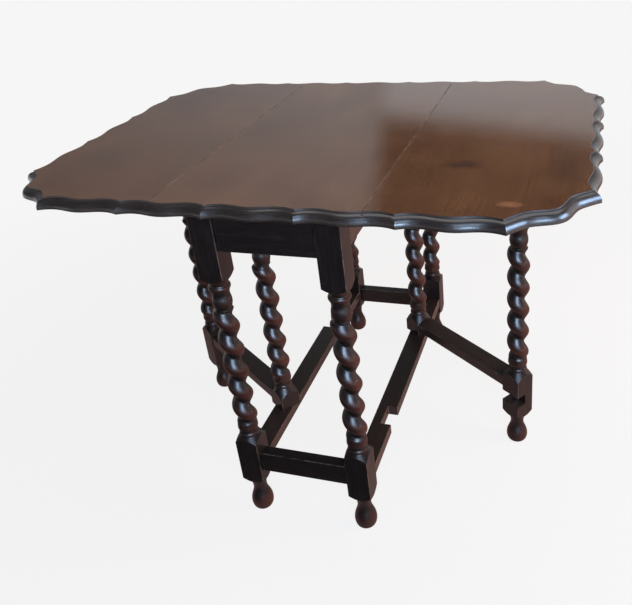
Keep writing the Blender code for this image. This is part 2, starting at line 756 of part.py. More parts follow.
def make_half(half):
    top = add_axis(half["side"] + "_top", None, (0, 0, 0), half["turn"])
    frame = add_axis(half["side"] + "_frame", None, (FRAME_OFFSET, 0, 0), half["turn"])
    leaf_axis = add_axis(half["side"] + "_leaf_axis", top, (SEAM_X, 0, PIN_Z), 0)
    gate_axis = add_axis(half["side"] + "_gate_axis", frame, (LEG_X, PIVOT_Y, 0), half["open"])
    make_corner_leg(half["side"], half["near"], -1, frame)
    make_corner_leg(half["side"], half["far"], 1, frame)
    make_end_rails(half, frame)
    make_side_apron(half, frame)
    make_side_stretcher(half, frame)
    make_glue_blocks(half, frame)
    make_leaf(half, leaf_axis)
    make_gate_stop(half, leaf_axis)
    make_hinge(half, half["near"], -HINGE_Y, top, leaf_axis)
    make_hinge(half, half["far"], HINGE_Y, top, leaf_axis)
    make_pivot_post(half, gate_axis)
    make_gate_leg(half, gate_axis)
    make_gate_rails(half, gate_axis)


clear_scene()
PARTS = new_collection("gate_leg_table")
CUTTERS = new_collection("cutters")
make_centre_board()
for table_half in HALVES:
    make_half(table_half)
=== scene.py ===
import math

import bmesh
import bpy
from mathutils import Matrix, Vector


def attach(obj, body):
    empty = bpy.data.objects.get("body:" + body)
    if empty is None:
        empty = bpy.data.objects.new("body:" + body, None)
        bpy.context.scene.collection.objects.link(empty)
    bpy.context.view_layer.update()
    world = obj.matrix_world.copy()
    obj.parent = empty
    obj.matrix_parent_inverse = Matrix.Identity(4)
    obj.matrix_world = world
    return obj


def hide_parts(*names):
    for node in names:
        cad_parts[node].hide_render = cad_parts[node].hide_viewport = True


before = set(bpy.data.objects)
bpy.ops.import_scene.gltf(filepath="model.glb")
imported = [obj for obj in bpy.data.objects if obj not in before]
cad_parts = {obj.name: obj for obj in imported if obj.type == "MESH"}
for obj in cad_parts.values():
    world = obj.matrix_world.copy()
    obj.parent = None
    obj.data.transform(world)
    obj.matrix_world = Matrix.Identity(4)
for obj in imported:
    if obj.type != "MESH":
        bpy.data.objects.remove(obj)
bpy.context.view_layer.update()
print("frame loaded,", len(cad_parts), "nodes")

# camera at the photograph's place: angles in radians, focal length and shift in picture pixels
photoView = {"width": 632, "place": (0.5325, -1.3296, 1.1914), "pitch": 0.4587, "roll": -0.0999,
             "yaw": -0.3452, "focal": 709.48, "shift": (-45.78, -67.22), "sensor": 36.0}


def makeCamera(view):
    pitch, roll, yaw = view["pitch"], view["roll"], view["yaw"]
    ahead = Vector((math.sin(yaw) * math.cos(pitch), math.cos(yaw) * math.cos(pitch),
                    -math.sin(pitch)))
    level = Vector((math.cos(yaw), -math.sin(yaw), 0))
    upright = level.cross(ahead)
    right = math.cos(roll) * level + math.sin(roll) * upright
    up = math.cos(roll) * upright - math.sin(roll) * level
    camera = bpy.data.objects.new("photo_camera", bpy.data.cameras.new("photo_camera"))
    turn = Matrix((right, up, -ahead)).transposed().to_4x4()
    camera.matrix_world = Matrix.Translation(view["place"]) @ turn
    camera.data.sensor_fit = "HORIZONTAL"
    camera.data.sensor_width = view["sensor"]
    camera.data.lens = view["focal"] * view["sensor"] / view["width"]
    camera.data.shift_x = view["shift"][0] / view["width"]
    camera.data.shift_y = view["shift"][1] / view["width"]
    bpy.context.scene.collection.objects.link(camera)
    bpy.context.scene.camera = camera


makeCamera(photoView)
print("camera placed")


# shader helpers: an input may be a plain value or another node's output
def setInputs(tree, node, values):
    for key, value in values.items():
        if isinstance(value, bpy.types.NodeSocket):
            tree.links.new(value, node.inputs[key])
        else:
            node.inputs[key].default_value = value


def addNode(tree, kind, inputs=None, **settings):
    made = tree.nodes.new(kind)
    for key, value in settings.items():
        setattr(made, key, value)
    setInputs(tree, made, inputs or {})
    return made


def mathNode(tree, operation, first, second=0.0):
    return addNode(tree, "ShaderNodeMath", {0: first, 1: second}, operation=operation).outputs[0]


def added(tree, first, second):
    return mathNode(tree, "ADD", first, second)


def scaled(tree, value, share):
    return mathNode(tree, "MULTIPLY", value, share)


def vectorNode(tree, operation, first, second=(0, 0, 0)):
    return addNode(tree, "ShaderNodeVectorMath", {0: first, 1: second},
                   operation=operation).outputs


def lengthOf(tree, vector):
    return vectorNode(tree, "LENGTH", vector)["Value"]


def noiseNode(tree, vector, scale, detail=3.0, roughness=0.5, distortion=0.0):
    return addNode(tree, "ShaderNodeTexNoise", {
        "Vector": vector, "Scale": scale, "Detail": detail, "Roughness": roughness,
        "Distortion": distortion}).outputs["Fac"]


def grainNoise(tree, vector, stretch, *texture):
    return noiseNode(tree, vectorNode(tree, "MULTIPLY", vector, stretch)[0], 1.0, *texture)


def rangeNode(tree, value, low, high, toLow=0.0, toHigh=1.0):
    return addNode(tree, "ShaderNodeMapRange", {
        "Value": value, "From Min": low, "From Max": high, "To Min": toLow,
        "To Max": toHigh}).outputs[0]


def mixColour(tree, share, first, second):
    return addNode(tree, "ShaderNodeMix", {"Factor": share, 6: first, 7: second},
                   data_type="RGBA").outputs[2]


def layOver(tree, colour, mask, share, tone):
    return mixColour(tree, scaled(tree, mask, share), colour, tone)


def groupNode(tree, group, inputs):
    return addNode(tree, "ShaderNodeGroup", inputs, node_tree=group).outputs


def newGroup(name, inputs, outputs):
    group = bpy.data.node_groups.new(name, "ShaderNodeTree")
    for label, kind, value in inputs:
        socket = group.interface.new_socket(label, in_out="INPUT", socket_type=kind)
        if value is not None:
            socket.default_value = value
    for label in outputs:
        group.interface.new_socket(label, in_out="OUTPUT", socket_type="NodeSocketFloat")
    return group, group.nodes.new("NodeGroupInput").outputs, group.nodes.new("NodeGroupOutput")


# oak grain running along X of the vector it is given, each stretch in waves to the metre
oakFigure = {"drift": (2.2, 7, 7), "streaks": (3, 120, 120), "broad": (1.5, 16, 16),
             "pores": (34, 900, 900), "rays": (42, 150, 22), "ringTilt": 0.6, "ringTurn": 6.283,
             "lineShare": 0.07, "streakShare": 0.62, "broadShare": 0.38,
             "poreRange": (0.56, 0.70), "rayRange": (0.62, 0.74)}


def makeOakGrain(look):
    group, given, out = newGroup("oakGrain", [
        ("Vector", "NodeSocketVector", None), ("Ring Spacing", "NodeSocketFloat", 0.008),
        ("Waviness", "NodeSocketFloat", 0.02)], ["Figure", "Pores", "Rays"])
    vector = given["Vector"]
    drift = grainNoise(group, vector, look["drift"])
    across = addNode(group, "ShaderNodeSeparateXYZ", {0: vector}).outputs
    tilt = added(group, across["Y"], scaled(group, across["Z"], look["ringTilt"]))
    wavy = added(group, tilt, scaled(group, drift, given["Waviness"]))
    rings = mathNode(group, "DIVIDE", wavy, given["Ring Spacing"])
    rings = mathNode(group, "SINE", scaled(group, rings, look["ringTurn"]))
    streaks = grainNoise(group, vector, look["streaks"], 6.0, 0.62)
    broad = grainNoise(group, vector, look["broad"])
    figure = added(group, scaled(group, rings, look["lineShare"]),
                   scaled(group, streaks, look["streakShare"]))
    figure = added(group, figure, scaled(group, broad, look["broadShare"]))
    fine = grainNoise(group, vector, look["pores"], 2.0, 0.6)
    ray = grainNoise(group, vector, look["rays"], 2.0, 0.5, 0.4)
    setInputs(group, out, {"Figure": figure, "Pores": rangeNode(group, fine, *look["poreRange"]),
                           "Rays": rangeNode(group, ray, *look["rayRange"])})
    return group


# old polish: slow clouding, rubbed streaks and fine nicks
oldPolish = {"cloudScale": 5.5, "cloudRange": (0.32, 0.68), "rubStretch": (30, 90, 90),
             "rubRange": (0.42, 0.70), "nickScale": 210.0, "nickRange": (0.66, 0.74)}


def makePolishAge(look):
    group, given, out = newGroup("polishAge", [("Vector", "NodeSocketVector", None)],
                                 ["Cloud", "Rub", "Nicks"])
    vector = given["Vector"]
    cloud = noiseNode(group, vector, look["cloudScale"], 4.0, 0.55, 0.3)
    rub = grainNoise(group, vector, look["rubStretch"], 4.0, 0.65)
    nick = noiseNode(group, vector, look["nickScale"], 2.0)
    setInputs(group, out, {"Cloud": rangeNode(group, cloud, *look["cloudRange"]),
                           "Rub": rangeNode(group, rub, *look["rubRange"]),
                           "Nicks": rangeNode(group, nick, *look["nickRange"])})
    return group


# bare edges, and the painted sheen on the gate legs' notch shelves, from the wearAndSheen attribute
# that the meshes carry
edgeWearAndSheen = {"patchScale": 38.0, "patchRange": (0.40, 0.62)}


def makeEdgeRub(look):
    group, given, out = newGroup("edgeRubAndSheen", [
        ("Vector", "NodeSocketVector", None), ("Amount", "NodeSocketFloat", 0.5)], ["Mask"])
    worn = addNode(group, "ShaderNodeAttribute", attribute_name="wearAndSheen").outputs["Fac"]
    patches = noiseNode(group, given["Vector"], look["patchScale"], 5.0, 0.65)
    worn = scaled(group, worn, rangeNode(group, patches, *look["patchRange"]))
    setInputs(group, out, {"Mask": scaled(group, worn, given["Amount"])})
    return group


oakGrain = makeOakGrain(oakFigure)
polishAge = makePolishAge(oldPolish)
edgeRubAndSheen = makeEdgeRub(edgeWearAndSheen)

# finishes: the oak's colours, the share of each layer, then gloss and relief
topFinish = {"dark": (0.052, 0.0170, 0.0066, 1), "mid": (0.090, 0.0315, 0.0120, 1),
             "light": (0.155, 0.057, 0.0220, 1), "pore": (0.025, 0.0085, 0.004, 1),
             "rubbedAndSheen": (0.340, 0.185, 0.105, 1), "rubbing": 0.9, "ringSpacing": 0.011,
             "waviness": 0.05, "figureRange": (0.26, 0.76), "clouding": 0.45, "rays": 0.16,
             "pores": 0.55, "specular": 0.5, "gloss": 0.055, "rubRough": 0.03, "cloudRough": 0.02,
             "figureHeight": 0.25, "bump": (0.03, 0.0003)}
frameFinish = {"dark": (0.0070, 0.0044, 0.0037, 1), "mid": (0.0125, 0.0070, 0.0056, 1),
               "light": (0.042, 0.0115, 0.0072, 1), "pore": (0.005, 0.0032, 0.0027, 1),
               "rubbedAndSheen": (0.110, 0.065, 0.048, 1), "rubbing": 0.55, "ringSpacing": 0.006,
               "waviness": 0.02, "figureRange": (0.34, 0.68), "handled": (0.25, 0.7), "pores": 0.6,
               "specular": 0.45, "coat": 0.0, "coatRough": 0.14, "gloss": 0.28, "rubRough": 0.12,
               "bareRough": 0.25, "figureHeight": 0.3, "nickDepth": 0.5, "bump": (0.06, 0.0004)}
# painted light: rails and stretchers in the top's shade get a lighter copy of the frame's finish,
# which paints in the light that reaches them
litRailFinish = dict(frameFinish, dark=(0.0200, 0.0112, 0.0084, 1), mid=(0.0340, 0.0172, 0.0120, 1))
edgeFinish = dict(frameFinish, dark=(0.009, 0.0058, 0.0044, 1), mid=(0.024, 0.0135, 0.010, 1),
                  rubbing=0.5, specular=0.5, coat=0.2)
bareFinish = {"dark": (0.050, 0.030, 0.018, 1), "mid": (0.095, 0.058, 0.034, 1),
              "light": (0.150, 0.098, 0.060, 1), "pore": (0.030, 0.017, 0.010, 1),
              "ringSpacing": 0.009, "waviness": 0.04, "figureRange": (0.34, 0.68), "clouding": 0.4,
              "pores": 0.7, "roughness": (0.62, 0.8), "bump": (0.3, 0.0006)}
metalAge = {"stretch": (12, 12, 12), "metallic": (0.95, 0.55), "roughSpread": 0.25,
            "bump": (0.2, 0.0002)}
alongX = (0, 0, 0)
alongY = (0, 0, math.radians(-90))
alongZ = (0, math.radians(90), 0)


def startMaterial(name):
    material = bpy.data.materials.new(name)
    material.use_nodes = True
    tree = material.node_tree
    return material, tree, tree.nodes["Principled BSDF"]


def startOak(name, finish, turn, offset=(0, 0, 0)):
    material, tree, shader = startMaterial(name)
    place = addNode(tree, "ShaderNodeTexCoord").outputs["Object"]
    along = addNode(tree, "ShaderNodeMapping", {"Vector": place, "Location": offset,
                                                "Rotation": turn}).outputs[0]
    grain = groupNode(tree, oakGrain, {"Vector": along, "Ring Spacing": finish["ringSpacing"],
                                       "Waviness": finish["waviness"]})
    age = groupNode(tree, polishAge, {"Vector": along})
    figure = rangeNode(tree, grain["Figure"], *finish["figureRange"])
    colour = mixColour(tree, figure, finish["dark"], finish["mid"])
    return material, tree, shader, (colour, grain, age, figure, place)


def bumpNode(tree, height, bump, invert=False):
    strength, distance = bump
    return addNode(tree, "ShaderNodeBump", {"Height": height, "Strength": strength,
                                            "Distance": distance}, invert=invert).outputs[0]


def polishOak(tree, shader, finish, colour, rough, height):
    setInputs(tree, shader, {
        "Base Color": colour, "Roughness": added(tree, rough, finish["gloss"]),
        "Normal": bumpNode(tree, height, finish["bump"]), "Specular IOR Level": finish["specular"]})


# marks in the right leaf's polish: a dark smudge, a bared patch, and a darker patch near the outer
# edge that paints in the dark reflection there
leafMarksAndReflection = [
    {"spot": (0.318, -0.172, 0.735), "reach": (0.044, 0.026, 0.02),
     "colour": (0.020, 0.0095, 0.006, 1), "share": 0.70},
    {"spot": (0.415, -0.332, 0.735), "reach": (0.024, 0.014, 0.02),
     "colour": (0.300, 0.105, 0.045, 1), "share": 0.55},
    # painted reflection: darkens the leaf's outer front part, where the polish reflects dark
    # surroundings
    {"spot": (0.500, -0.170, 0.735), "reach": (0.050, 0.130, 0.02),
     "colour": (0.035, 0.0170, 0.009, 1), "share": 0.50},
]
markEdge = {"tearScale": 55.0, "tearDepth": 0.9, "fade": (0.55, 1.45)}


def markMask(tree, place, mark):
    away = vectorNode(tree, "SUBTRACT", place, mark["spot"])[0]
    away = vectorNode(tree, "DIVIDE", away, mark["reach"])[0]
    torn = noiseNode(tree, place, markEdge["tearScale"], 4.0, 0.6)
    reach = added(tree, lengthOf(tree, away), scaled(tree, torn, markEdge["tearDepth"]))
    return rangeNode(tree, reach, *markEdge["fade"], mark["share"], 0.0)


# polished top: red-brown oak, grain along the hinge lines
def makeTopOak(name, offset, marks=()):
    finish = topFinish
    material, tree, shader, parts = startOak(name, finish, alongY, offset)
    colour, grain, age, figure, place = parts
    colour = layOver(tree, colour, age["Cloud"], finish["clouding"], finish["light"])
    colour = layOver(tree, colour, grain["Rays"], finish["rays"], finish["light"])
    colour = layOver(tree, colour, grain["Pores"], finish["pores"], finish["pore"])
    for mark in marks:
        colour = mixColour(tree, markMask(tree, place, mark), colour, mark["colour"])
    rub = groupNode(tree, edgeRubAndSheen, {"Vector": place, "Amount": finish["rubbing"]})
    colour = mixColour(tree, rub["Mask"], colour, finish["rubbedAndSheen"])
    rough = added(tree, scaled(tree, age["Rub"], finish["rubRough"]),
                  scaled(tree, age["Cloud"], finish["cloudRough"]))
    height = scaled(tree, figure, finish["figureHeight"])
    height = mathNode(tree, "SUBTRACT", height, grain["Pores"])
    polishOak(tree, shader, finish, colour, rough, height)
    return material


# dark stained frame and mouldings: handled crests a little redder, hollows near black
def makeFrameOak(name, turn, offset=(0, 0, 0), finish=frameFinish):
    material, tree, shader, parts = startOak(name, finish, turn, offset)
    colour, grain, age, figure, place = parts
    raised = addNode(tree, "ShaderNodeAttribute", attribute_name="crest").outputs["Fac"]
    handled = rangeNode(tree, age["Cloud"], 0, 1, *finish["handled"])
    colour = layOver(tree, colour, raised, handled, finish["light"])
    colour = layOver(tree, colour, grain["Pores"], finish["pores"], finish["pore"])
    rub = groupNode(tree, edgeRubAndSheen, {"Vector": place, "Amount": finish["rubbing"]})
    colour = mixColour(tree, rub["Mask"], colour, finish["rubbedAndSheen"])
    rough = added(tree, scaled(tree, age["Rub"], finish["rubRough"]),
                  scaled(tree, rub["Mask"], finish["bareRough"]))
    height = scaled(tree, figure, finish["figureHeight"])
    height = mathNode(tree, "SUBTRACT", height, grain["Pores"])
    height = mathNode(tree, "SUBTRACT", height, scaled(tree, age["Nicks"], finish["nickDepth"]))
    polishOak(tree, shader, finish, colour, rough, height)
    setInputs(tree, shader, {"Coat Weight": finish["coat"], "Coat Roughness": finish["coatRough"]})
    return material


# unpolished oak under the top
def makeBareOak(name):
    finish = bareFinish
    material, tree, shader, parts = startOak(name, finish, alongY)
    colour, grain, age = parts[:3]
    colour = layOver(tree, colour, age["Cloud"], finish["clouding"], finish["light"])
    colour = layOver(tree, colour, grain["Pores"], finish["pores"], finish["pore"])
    setInputs(tree, shader, {
        "Base Color": colour, "Roughness": rangeNode(tree, age["Rub"], 0, 1, *finish["roughness"]),
        "Normal": bumpNode(tree, grain["Pores"], finish["bump"], invert=True)})
    return material


# dull metal with a brown bloom in patches
def makeMetal(name, clean, bloom, roughness):
    material, tree, shader = startMaterial(name)
    place = addNode(tree, "ShaderNodeTexCoord").outputs["Object"]
    place = vectorNode(tree, "MULTIPLY", place, metalAge["stretch"])[0]
    age = groupNode(tree, polishAge, {"Vector": place})
    setInputs(tree, shader, {
        "Base Color": mixColour(tree, age["Cloud"], clean, bloom),
        "Metallic": rangeNode(tree, age["Cloud"], 0, 1, *metalAge["metallic"]),
        "Roughness": rangeNode(tree, age["Rub"], 0, 1, roughness,
                               roughness + metalAge["roughSpread"]),
        "Normal": bumpNode(tree, age["Nicks"], metalAge["bump"])})
    return material


centreOak = makeTopOak("centreBoardOak", (0.3, 0.11, 0))
leafOak = {"right": makeTopOak("rightLeafOak", (1.7, 0.47, 0), leafMarksAndReflection),
           "left": makeTopOak("leftLeafOak", (3.1, 0.93, 0))}
mouldingOak = makeFrameOak("mouldingOak", alongX, (0.2, 0.1, 0), edgeFinish)
bareOak = makeBareOak("undersideOak")
blockOak = makeBareOak("blockOak")
legOak = makeFrameOak("legOak", alongZ)
endRailOak = makeFrameOak("endRailOak", alongX, (0.7, 0.2, 0))
# side aprons and stretchers take the lighter rail finish, which is painted light
sideRailLitOak = makeFrameOak("sideRailLitOak", alongY, (0.4, 0.6, 0), litRailFinish)
hingeIron = makeMetal("hingeIron", (0.055, 0.052, 0.050, 1), (0.050, 0.026, 0.014, 1), 0.42)
screwSteel = makeMetal("screwSteel", (0.20, 0.19, 0.175, 1), (0.075, 0.045, 0.028, 1), 0.34)
print("finishes mixed")


# piece helpers; corners nearer than this are one corner
mergeDistance = 1e-6


def meshObject(name, bm):
    mesh = bpy.data.meshes.new(name)
    bm.to_mesh(mesh)
    bm.free()
    made = bpy.data.objects.new(name, mesh)
    bpy.context.scene.collection.objects.link(made)
    return made


def addPiece(name, bm, body, nodes, materials, sharpAngle):
    piece = meshObject(name, bm)
    for material in materials:
        piece.data.materials.append(material)
    piece.data.shade_smooth()
    piece.data.set_sharp_from_angle(angle=math.radians(sharpAngle))
    normals = piece.modifiers.new("evenNormals", "WEIGHTED_NORMAL")
    normals.keep_sharp = True
    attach(piece, body)
    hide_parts(*nodes)


def cleanShape(bm):
    bmesh.ops.remove_doubles(bm, verts=bm.verts, dist=mergeDistance)
    bmesh.ops.recalc_face_normals(bm, faces=bm.faces)
    return bm


def putAt(bm, place):
    bmesh.ops.transform(bm, matrix=place, verts=bm.verts)
    return bm


def boxShape(xRange, yRange, zRange):
    bm = bmesh.new()
    bmesh.ops.create_cube(bm, size=1.0)
    lows = Vector((xRange[0], yRange[0], zRange[0]))
    highs = Vector((xRange[1], yRange[1], zRange[1]))
    bmesh.ops.scale(bm, vec=highs - lows, verts=bm.verts)
    bmesh.ops.translate(bm, vec=(highs + lows) / 2, verts=bm.verts)
    return bm


def bevelEdges(bm, edges, offset, segments, clamp=False):
    made = bmesh.ops.bevel(bm, geom=edges, offset=offset, affect="EDGES", segments=segments,
                           profile=0.5, material=-1, clamp_overlap=clamp)
    return made["faces"]


# rounded edges carry the wear that the finishes rub bare
def roundEdges(bm, edges, offset, segments=2):
    wearAndSheen = bm.faces.layers.float.get("wearAndSheen") or bm.faces.layers.float.new("wearAndSheen")
    for face in bevelEdges(bm, edges, offset, segments, True):
        face[wearAndSheen] = 1.0


def carve(bm, steps):
    shape = meshObject("scratchShape", cleanShape(bm))
    tools = []
    for operation, cutter in steps:
        tools.append(meshObject("scratchTool", cleanShape(cutter)))
        cut = shape.modifiers.new(operation.lower(), "BOOLEAN")
        cut.operation = operation
        cut.solver = "MANIFOLD"
        cut.object = tools[-1]
    bpy.context.view_layer.update()
    carved = bmesh.new()
    carved.from_object(shape, bpy.context.evaluated_depsgraph_get())
    for item in [shape] + tools:
        mesh = item.data
        bpy.data.objects.remove(item)
        bpy.data.meshes.remove(mesh)
    return carved


def drawProfile(points):
    bm = bmesh.new()
    last = bm.verts.new(points[0])
    for point in points[1:]:
        last = bmesh.ops.extrude_vert_indiv(bm, verts=[last])["verts"][0]
        last.co = point
    return bm


def spinProfile(points, sides):
    bm = drawProfile(points)
    bmesh.ops.spin(bm, geom=bm.verts[:] + bm.edges[:], cent=(0, 0, 0), axis=(0, 0, 1),
                   angle=2 * math.pi, steps=sides, use_merge=True)
    return cleanShape(bm)


def smoothPath(points, steps):
    path = []
    for index in range(len(points) - 1):
        before = points[max(index - 1, 0)]
        start, end = points[index], points[index + 1]
        after = points[min(index + 2, len(points) - 1)]
        for step in range(steps):
            t = step / steps
            path.append(tuple(0.5 * (2 * b + (c - a) * t + (2 * a - 5 * b + 4 * c - d) * t * t
                                     + (3 * b - a - 3 * c + d) * t ** 3)
                              for a, b, c, d in zip(before, start, end, after)))
    path.append(points[-1])
    return path


# where each half of the frame, its leaf and its gate stand
tableFrame = {"legX": 0.1176, "legY": 0.3458, "legHalf": 0.0236, "offset": 0.009,
              "pivotY": 0.172, "gateRadius": 0.3405, "topUnderside": 0.715,
              "apronFloor": 0.635, "seatGap": 0.0003, "leafGap": 0.0005, "cutPast": 0.012}
halves = [
    {"side": "right", "near": "front", "far": "back", "turn": 0.0, "open": math.radians(53.4)},
    {"side": "left", "near": "back", "far": "front", "turn": math.pi, "open": math.radians(55.5)},
]
# the gate rails take the lighter rail finish, which is painted light
gateRailLitOak = {}
for half in halves:
    railTurn = (0, 0, math.radians(90) - half["open"])
    gateRailLitOak[half["side"]] = makeFrameOak(half["side"] + "GateRailLitOak", railTurn,
                                             (0.9, 0.3, 0), litRailFinish)


def topPlace(half):
    return Matrix.Rotation(half["turn"], 4, "Z")


def framePlace(half):
    return Matrix.Translation((tableFrame["offset"], 0, 0)) @ topPlace(half)


def gatePlace(half):
    pivot = Matrix.Translation((tableFrame["legX"], tableFrame["pivotY"], 0))
    return framePlace(half) @ pivot @ Matrix.Rotation(half["open"], 4, "Z")


# turned sticks: heights in metres, radii as shares of half the square
turnedStick = {
    "sides": 64, "edgeRound": 0.0013, "edgeSteps": 4, "sharpAngle": 32, "blockShare": 1.53,
    "foot": [(0.0, 0.56), (0.0015, 0.68), (0.005, 0.83), (0.011, 0.94), (0.019, 0.985),
             (0.027, 0.96), (0.035, 0.875), (0.0435, 0.745), (0.051, 0.645), (0.058, 0.605),
             (0.066, 0.625), (0.075, 0.70), (0.084, 0.87)],
    "lowerBlock": (0.097, 0.188),
    "base": [[(0.2035, 0.745), (0.2046, 0.80), (0.2066, 0.845), (0.2090, 0.850), (0.2112, 0.81),
              (0.2124, 0.755)],
             [(0.2140, 0.735), (0.2158, 0.735), (0.2176, 0.765), (0.2196, 0.835), (0.2225, 0.875),
              (0.2258, 0.880), (0.2292, 0.862), (0.2325, 0.845)]],
    "twist": (0.2335, 0.506),
    "neck": [[(0.506, 0.705), (0.5085, 0.700), (0.512, 0.735), (0.5165, 0.785), (0.522, 0.805),
              (0.5275, 0.785), (0.5325, 0.735), (0.537, 0.710), (0.5415, 0.725), (0.546, 0.775)],
             [(0.5485, 0.800), (0.5498, 0.865), (0.5525, 0.898), (0.5550, 0.892), (0.5570, 0.845),
              (0.5578, 0.795)],
             [(0.5595, 0.765), (0.5635, 0.800), (0.5690, 0.905)]],
    "upperBlock": (0.581, 0.750),
    "drops": {"gate": (0.009, 0.004), "pivot": (0.0255, 0.0135)},
    "notch": (0.1135, 0.1405), "postFloor": 0.1388,
    "pitch": 0.0535, "ringStep": 0.0016, "fades": (0.014, 0.007), "roundness": 1.4, "crest": 0.995,
    "valley": 0.545, "plainShares": (0.842, 0.710), "smoothSteps": 4,
    "phases": {"front_right": 0.18, "back_right": 0.56, "back_left": 0.68, "front_left": 0.75,
               "pivot": 0.78, "gate": 0.50},
}


# the gate's sticks have a shorter foot, and their lower block and its turnings sit lower
def stickFor(kind):
    blockDrop, turningDrop = turnedStick["drops"].get(kind, (0.0, 0.0))
    low, high = turnedStick["lowerBlock"]
    stick = dict(turnedStick)
    stick["foot"] = [(z * (1 - blockDrop / low), share) for z, share in turnedStick["foot"]]
    stick["lowerBlock"] = (low - blockDrop, high - blockDrop)
    stick["base"] = [[(z - turningDrop, share) for z, share in part]
                     for part in turnedStick["base"]]
    stick["twist"] = (turnedStick["twist"][0] - turningDrop, turnedStick["twist"][1])
    return stick


def stickProfile(stick):
    steps = stick["smoothSteps"]
    points = [(0.0, 0.0)] + smoothPath(stick["foot"], steps)
    points += [(z, stick["blockShare"]) for z in stick["lowerBlock"]]
    for part in stick["base"]:
        points += smoothPath(part, steps)
    low, high = stick["twist"]
    rings = round((high - low) / stick["ringStep"])
    points += [(low + (high - low) * ring / rings, stick["valley"]) for ring in range(1, rings)]
    for part in stick["neck"]:
        points += smoothPath(part, steps)
    points += [(z, stick["blockShare"]) for z in stick["upperBlock"]]
    points.append((stick["upperBlock"][1], 0.0))
    half = tableFrame["legHalf"]
    return [(share * half, 0, z) for z, share in points]


def twistShare(stick, height, angle, phase):
    low, high = stick["twist"]
    end = 0 if height - low < high - height else 1
    plain = stick["plainShares"][end]
    fade = max(0.0, min(1.0, min(height - low, high - height) / stick["fades"][end]))
    wave = abs(math.cos(math.pi * (height / stick["pitch"] + angle / (2 * math.pi) + phase)))
    share = stick["valley"] + (stick["crest"] - stick["valley"]) * wave ** stick["roundness"]
    return plain + (share - plain) * fade * fade * (3 - 2 * fade)


def turnSpindle(stick, phase):
    bm = spinProfile(stickProfile(stick), stick["sides"])
    low, high = stick["twist"]
    for vert in bm.verts:
        if low < vert.co.z < high:
            angle = math.atan2(vert.co.y, vert.co.x)
            radius = twistShare(stick, vert.co.z, angle, phase) * tableFrame["legHalf"]
            vert.co.x, vert.co.y = radius * math.cos(angle), radius * math.sin(angle)
    return bm


def squareShape(stick, zRange):
    half = tableFrame["legHalf"]
    bm = boxShape((-half, half), (-half, half), zRange)
    upright = [edge for edge in bm.edges
               if abs(edge.verts[0].co.z - edge.verts[1].co.z) > half]
    bevelEdges(bm, upright, stick["edgeRound"], stick["edgeSteps"])
    return bm


# crest marks raised turning; wearAndSheen marks the blocks' rounded corners as worn, and the
# notch's shelf partly as bare wood and partly as painted sheen
stickMarks = {"crestStart": 0.72, "crestRun": 0.25, "cornerSlant": 0.15, "cornerReach": 1.25,
              "upright": 0.05, "level": 0.9, "shelfPlay": 0.0005}


def markStick(bm, stick):
    half, marks = tableFrame["legHalf"], stickMarks
    crest = bm.verts.layers.float.new("crest")
    wearAndSheen = bm.faces.layers.float.new("wearAndSheen")
    for vert in bm.verts:
        share = math.hypot(vert.co.x, vert.co.y) / half
        raised = (share - marks["crestStart"]) / marks["crestRun"]
        vert[crest] = max(0.0, min(1.0, raised)) if share < 1.0 else 0.0
    for face in bm.faces:
        middle, normal = face.calc_center_median(), face.normal
        aslant = min(abs(normal.x), abs(normal.y)) > marks["cornerSlant"]
        onCorner = (aslant and abs(normal.z) < marks["upright"]
                    and math.hypot(middle.x, middle.y) > marks["cornerReach"] * half)
        # the notch's shelf takes the rubbed colour: partly bare wood, partly painted sheen
        onShelf = (normal.z > marks["level"]
                   and abs(middle.z - stick["notch"][0]) < marks["shelfPlay"])
        if onCorner or onShelf:
            face[wearAndSheen] = 1.0


def makeStick(name, node, body, kind, zRange, place, cuts=()):
    stick = stickFor(kind)
    steps = [("INTERSECT", squareShape(stick, zRange))] + [("DIFFERENCE", cut) for cut in cuts]
    bm = carve(turnSpindle(stick, stick["phases"][kind]), steps)
    markStick(bm, stick)
    addPiece(name, putAt(bm, place), body, [node], [legOak], stick["sharpAngle"])


# a gate leg is notched over the side stretcher and lapped onto the side apron
gateCuts = {"reach": 0.05, "notchFace": 0.0004, "lapFace": 0.0048, "lapRoom": 0.002,
            "lapTop": 0.752}


def gateLegCuts():
    reach = gateCuts["reach"]
    wide = (-reach, reach)
    lapFloor = tableFrame["apronFloor"] - gateCuts["lapRoom"]
    return [boxShape((-reach, gateCuts["notchFace"]), wide, turnedStick["notch"]),
            boxShape((-reach, gateCuts["lapFace"]), wide, (lapFloor, gateCuts["lapTop"]))]


def makeSticks():
    floor = -tableFrame["cutPast"]
    legTop = tableFrame["topUnderside"] - tableFrame["seatGap"]
    for half in halves:
        side = half["side"]
        for end, sign in ((half["near"], -1), (half["far"], 1)):
            corner = end + "_" + side
            spot = Matrix.Translation((tableFrame["legX"], sign * tableFrame["legY"], 0))
            makeStick(corner + "_turned_leg", corner + "_leg", "frame", corner, (floor, legTop),
                      framePlace(half) @ spot)
        post = (turnedStick["postFloor"], tableFrame["apronFloor"] - tableFrame["seatGap"])
        makeStick(side + "_turned_pivot", side + "_pivot_post", side + "_gate", "pivot", post,
                  gatePlace(half))
        out = Matrix.Translation((0, -tableFrame["gateRadius"], 0))
        gateTop = tableFrame["topUnderside"] - tableFrame["leafGap"]
        makeStick(side + "_turned_gate_leg", side + "_gate_leg", side + "_gate", "gate",
                  (floor, gateTop), gatePlace(half) @ out, gateLegCuts())


makeSticks()
print("legs and posts turned")

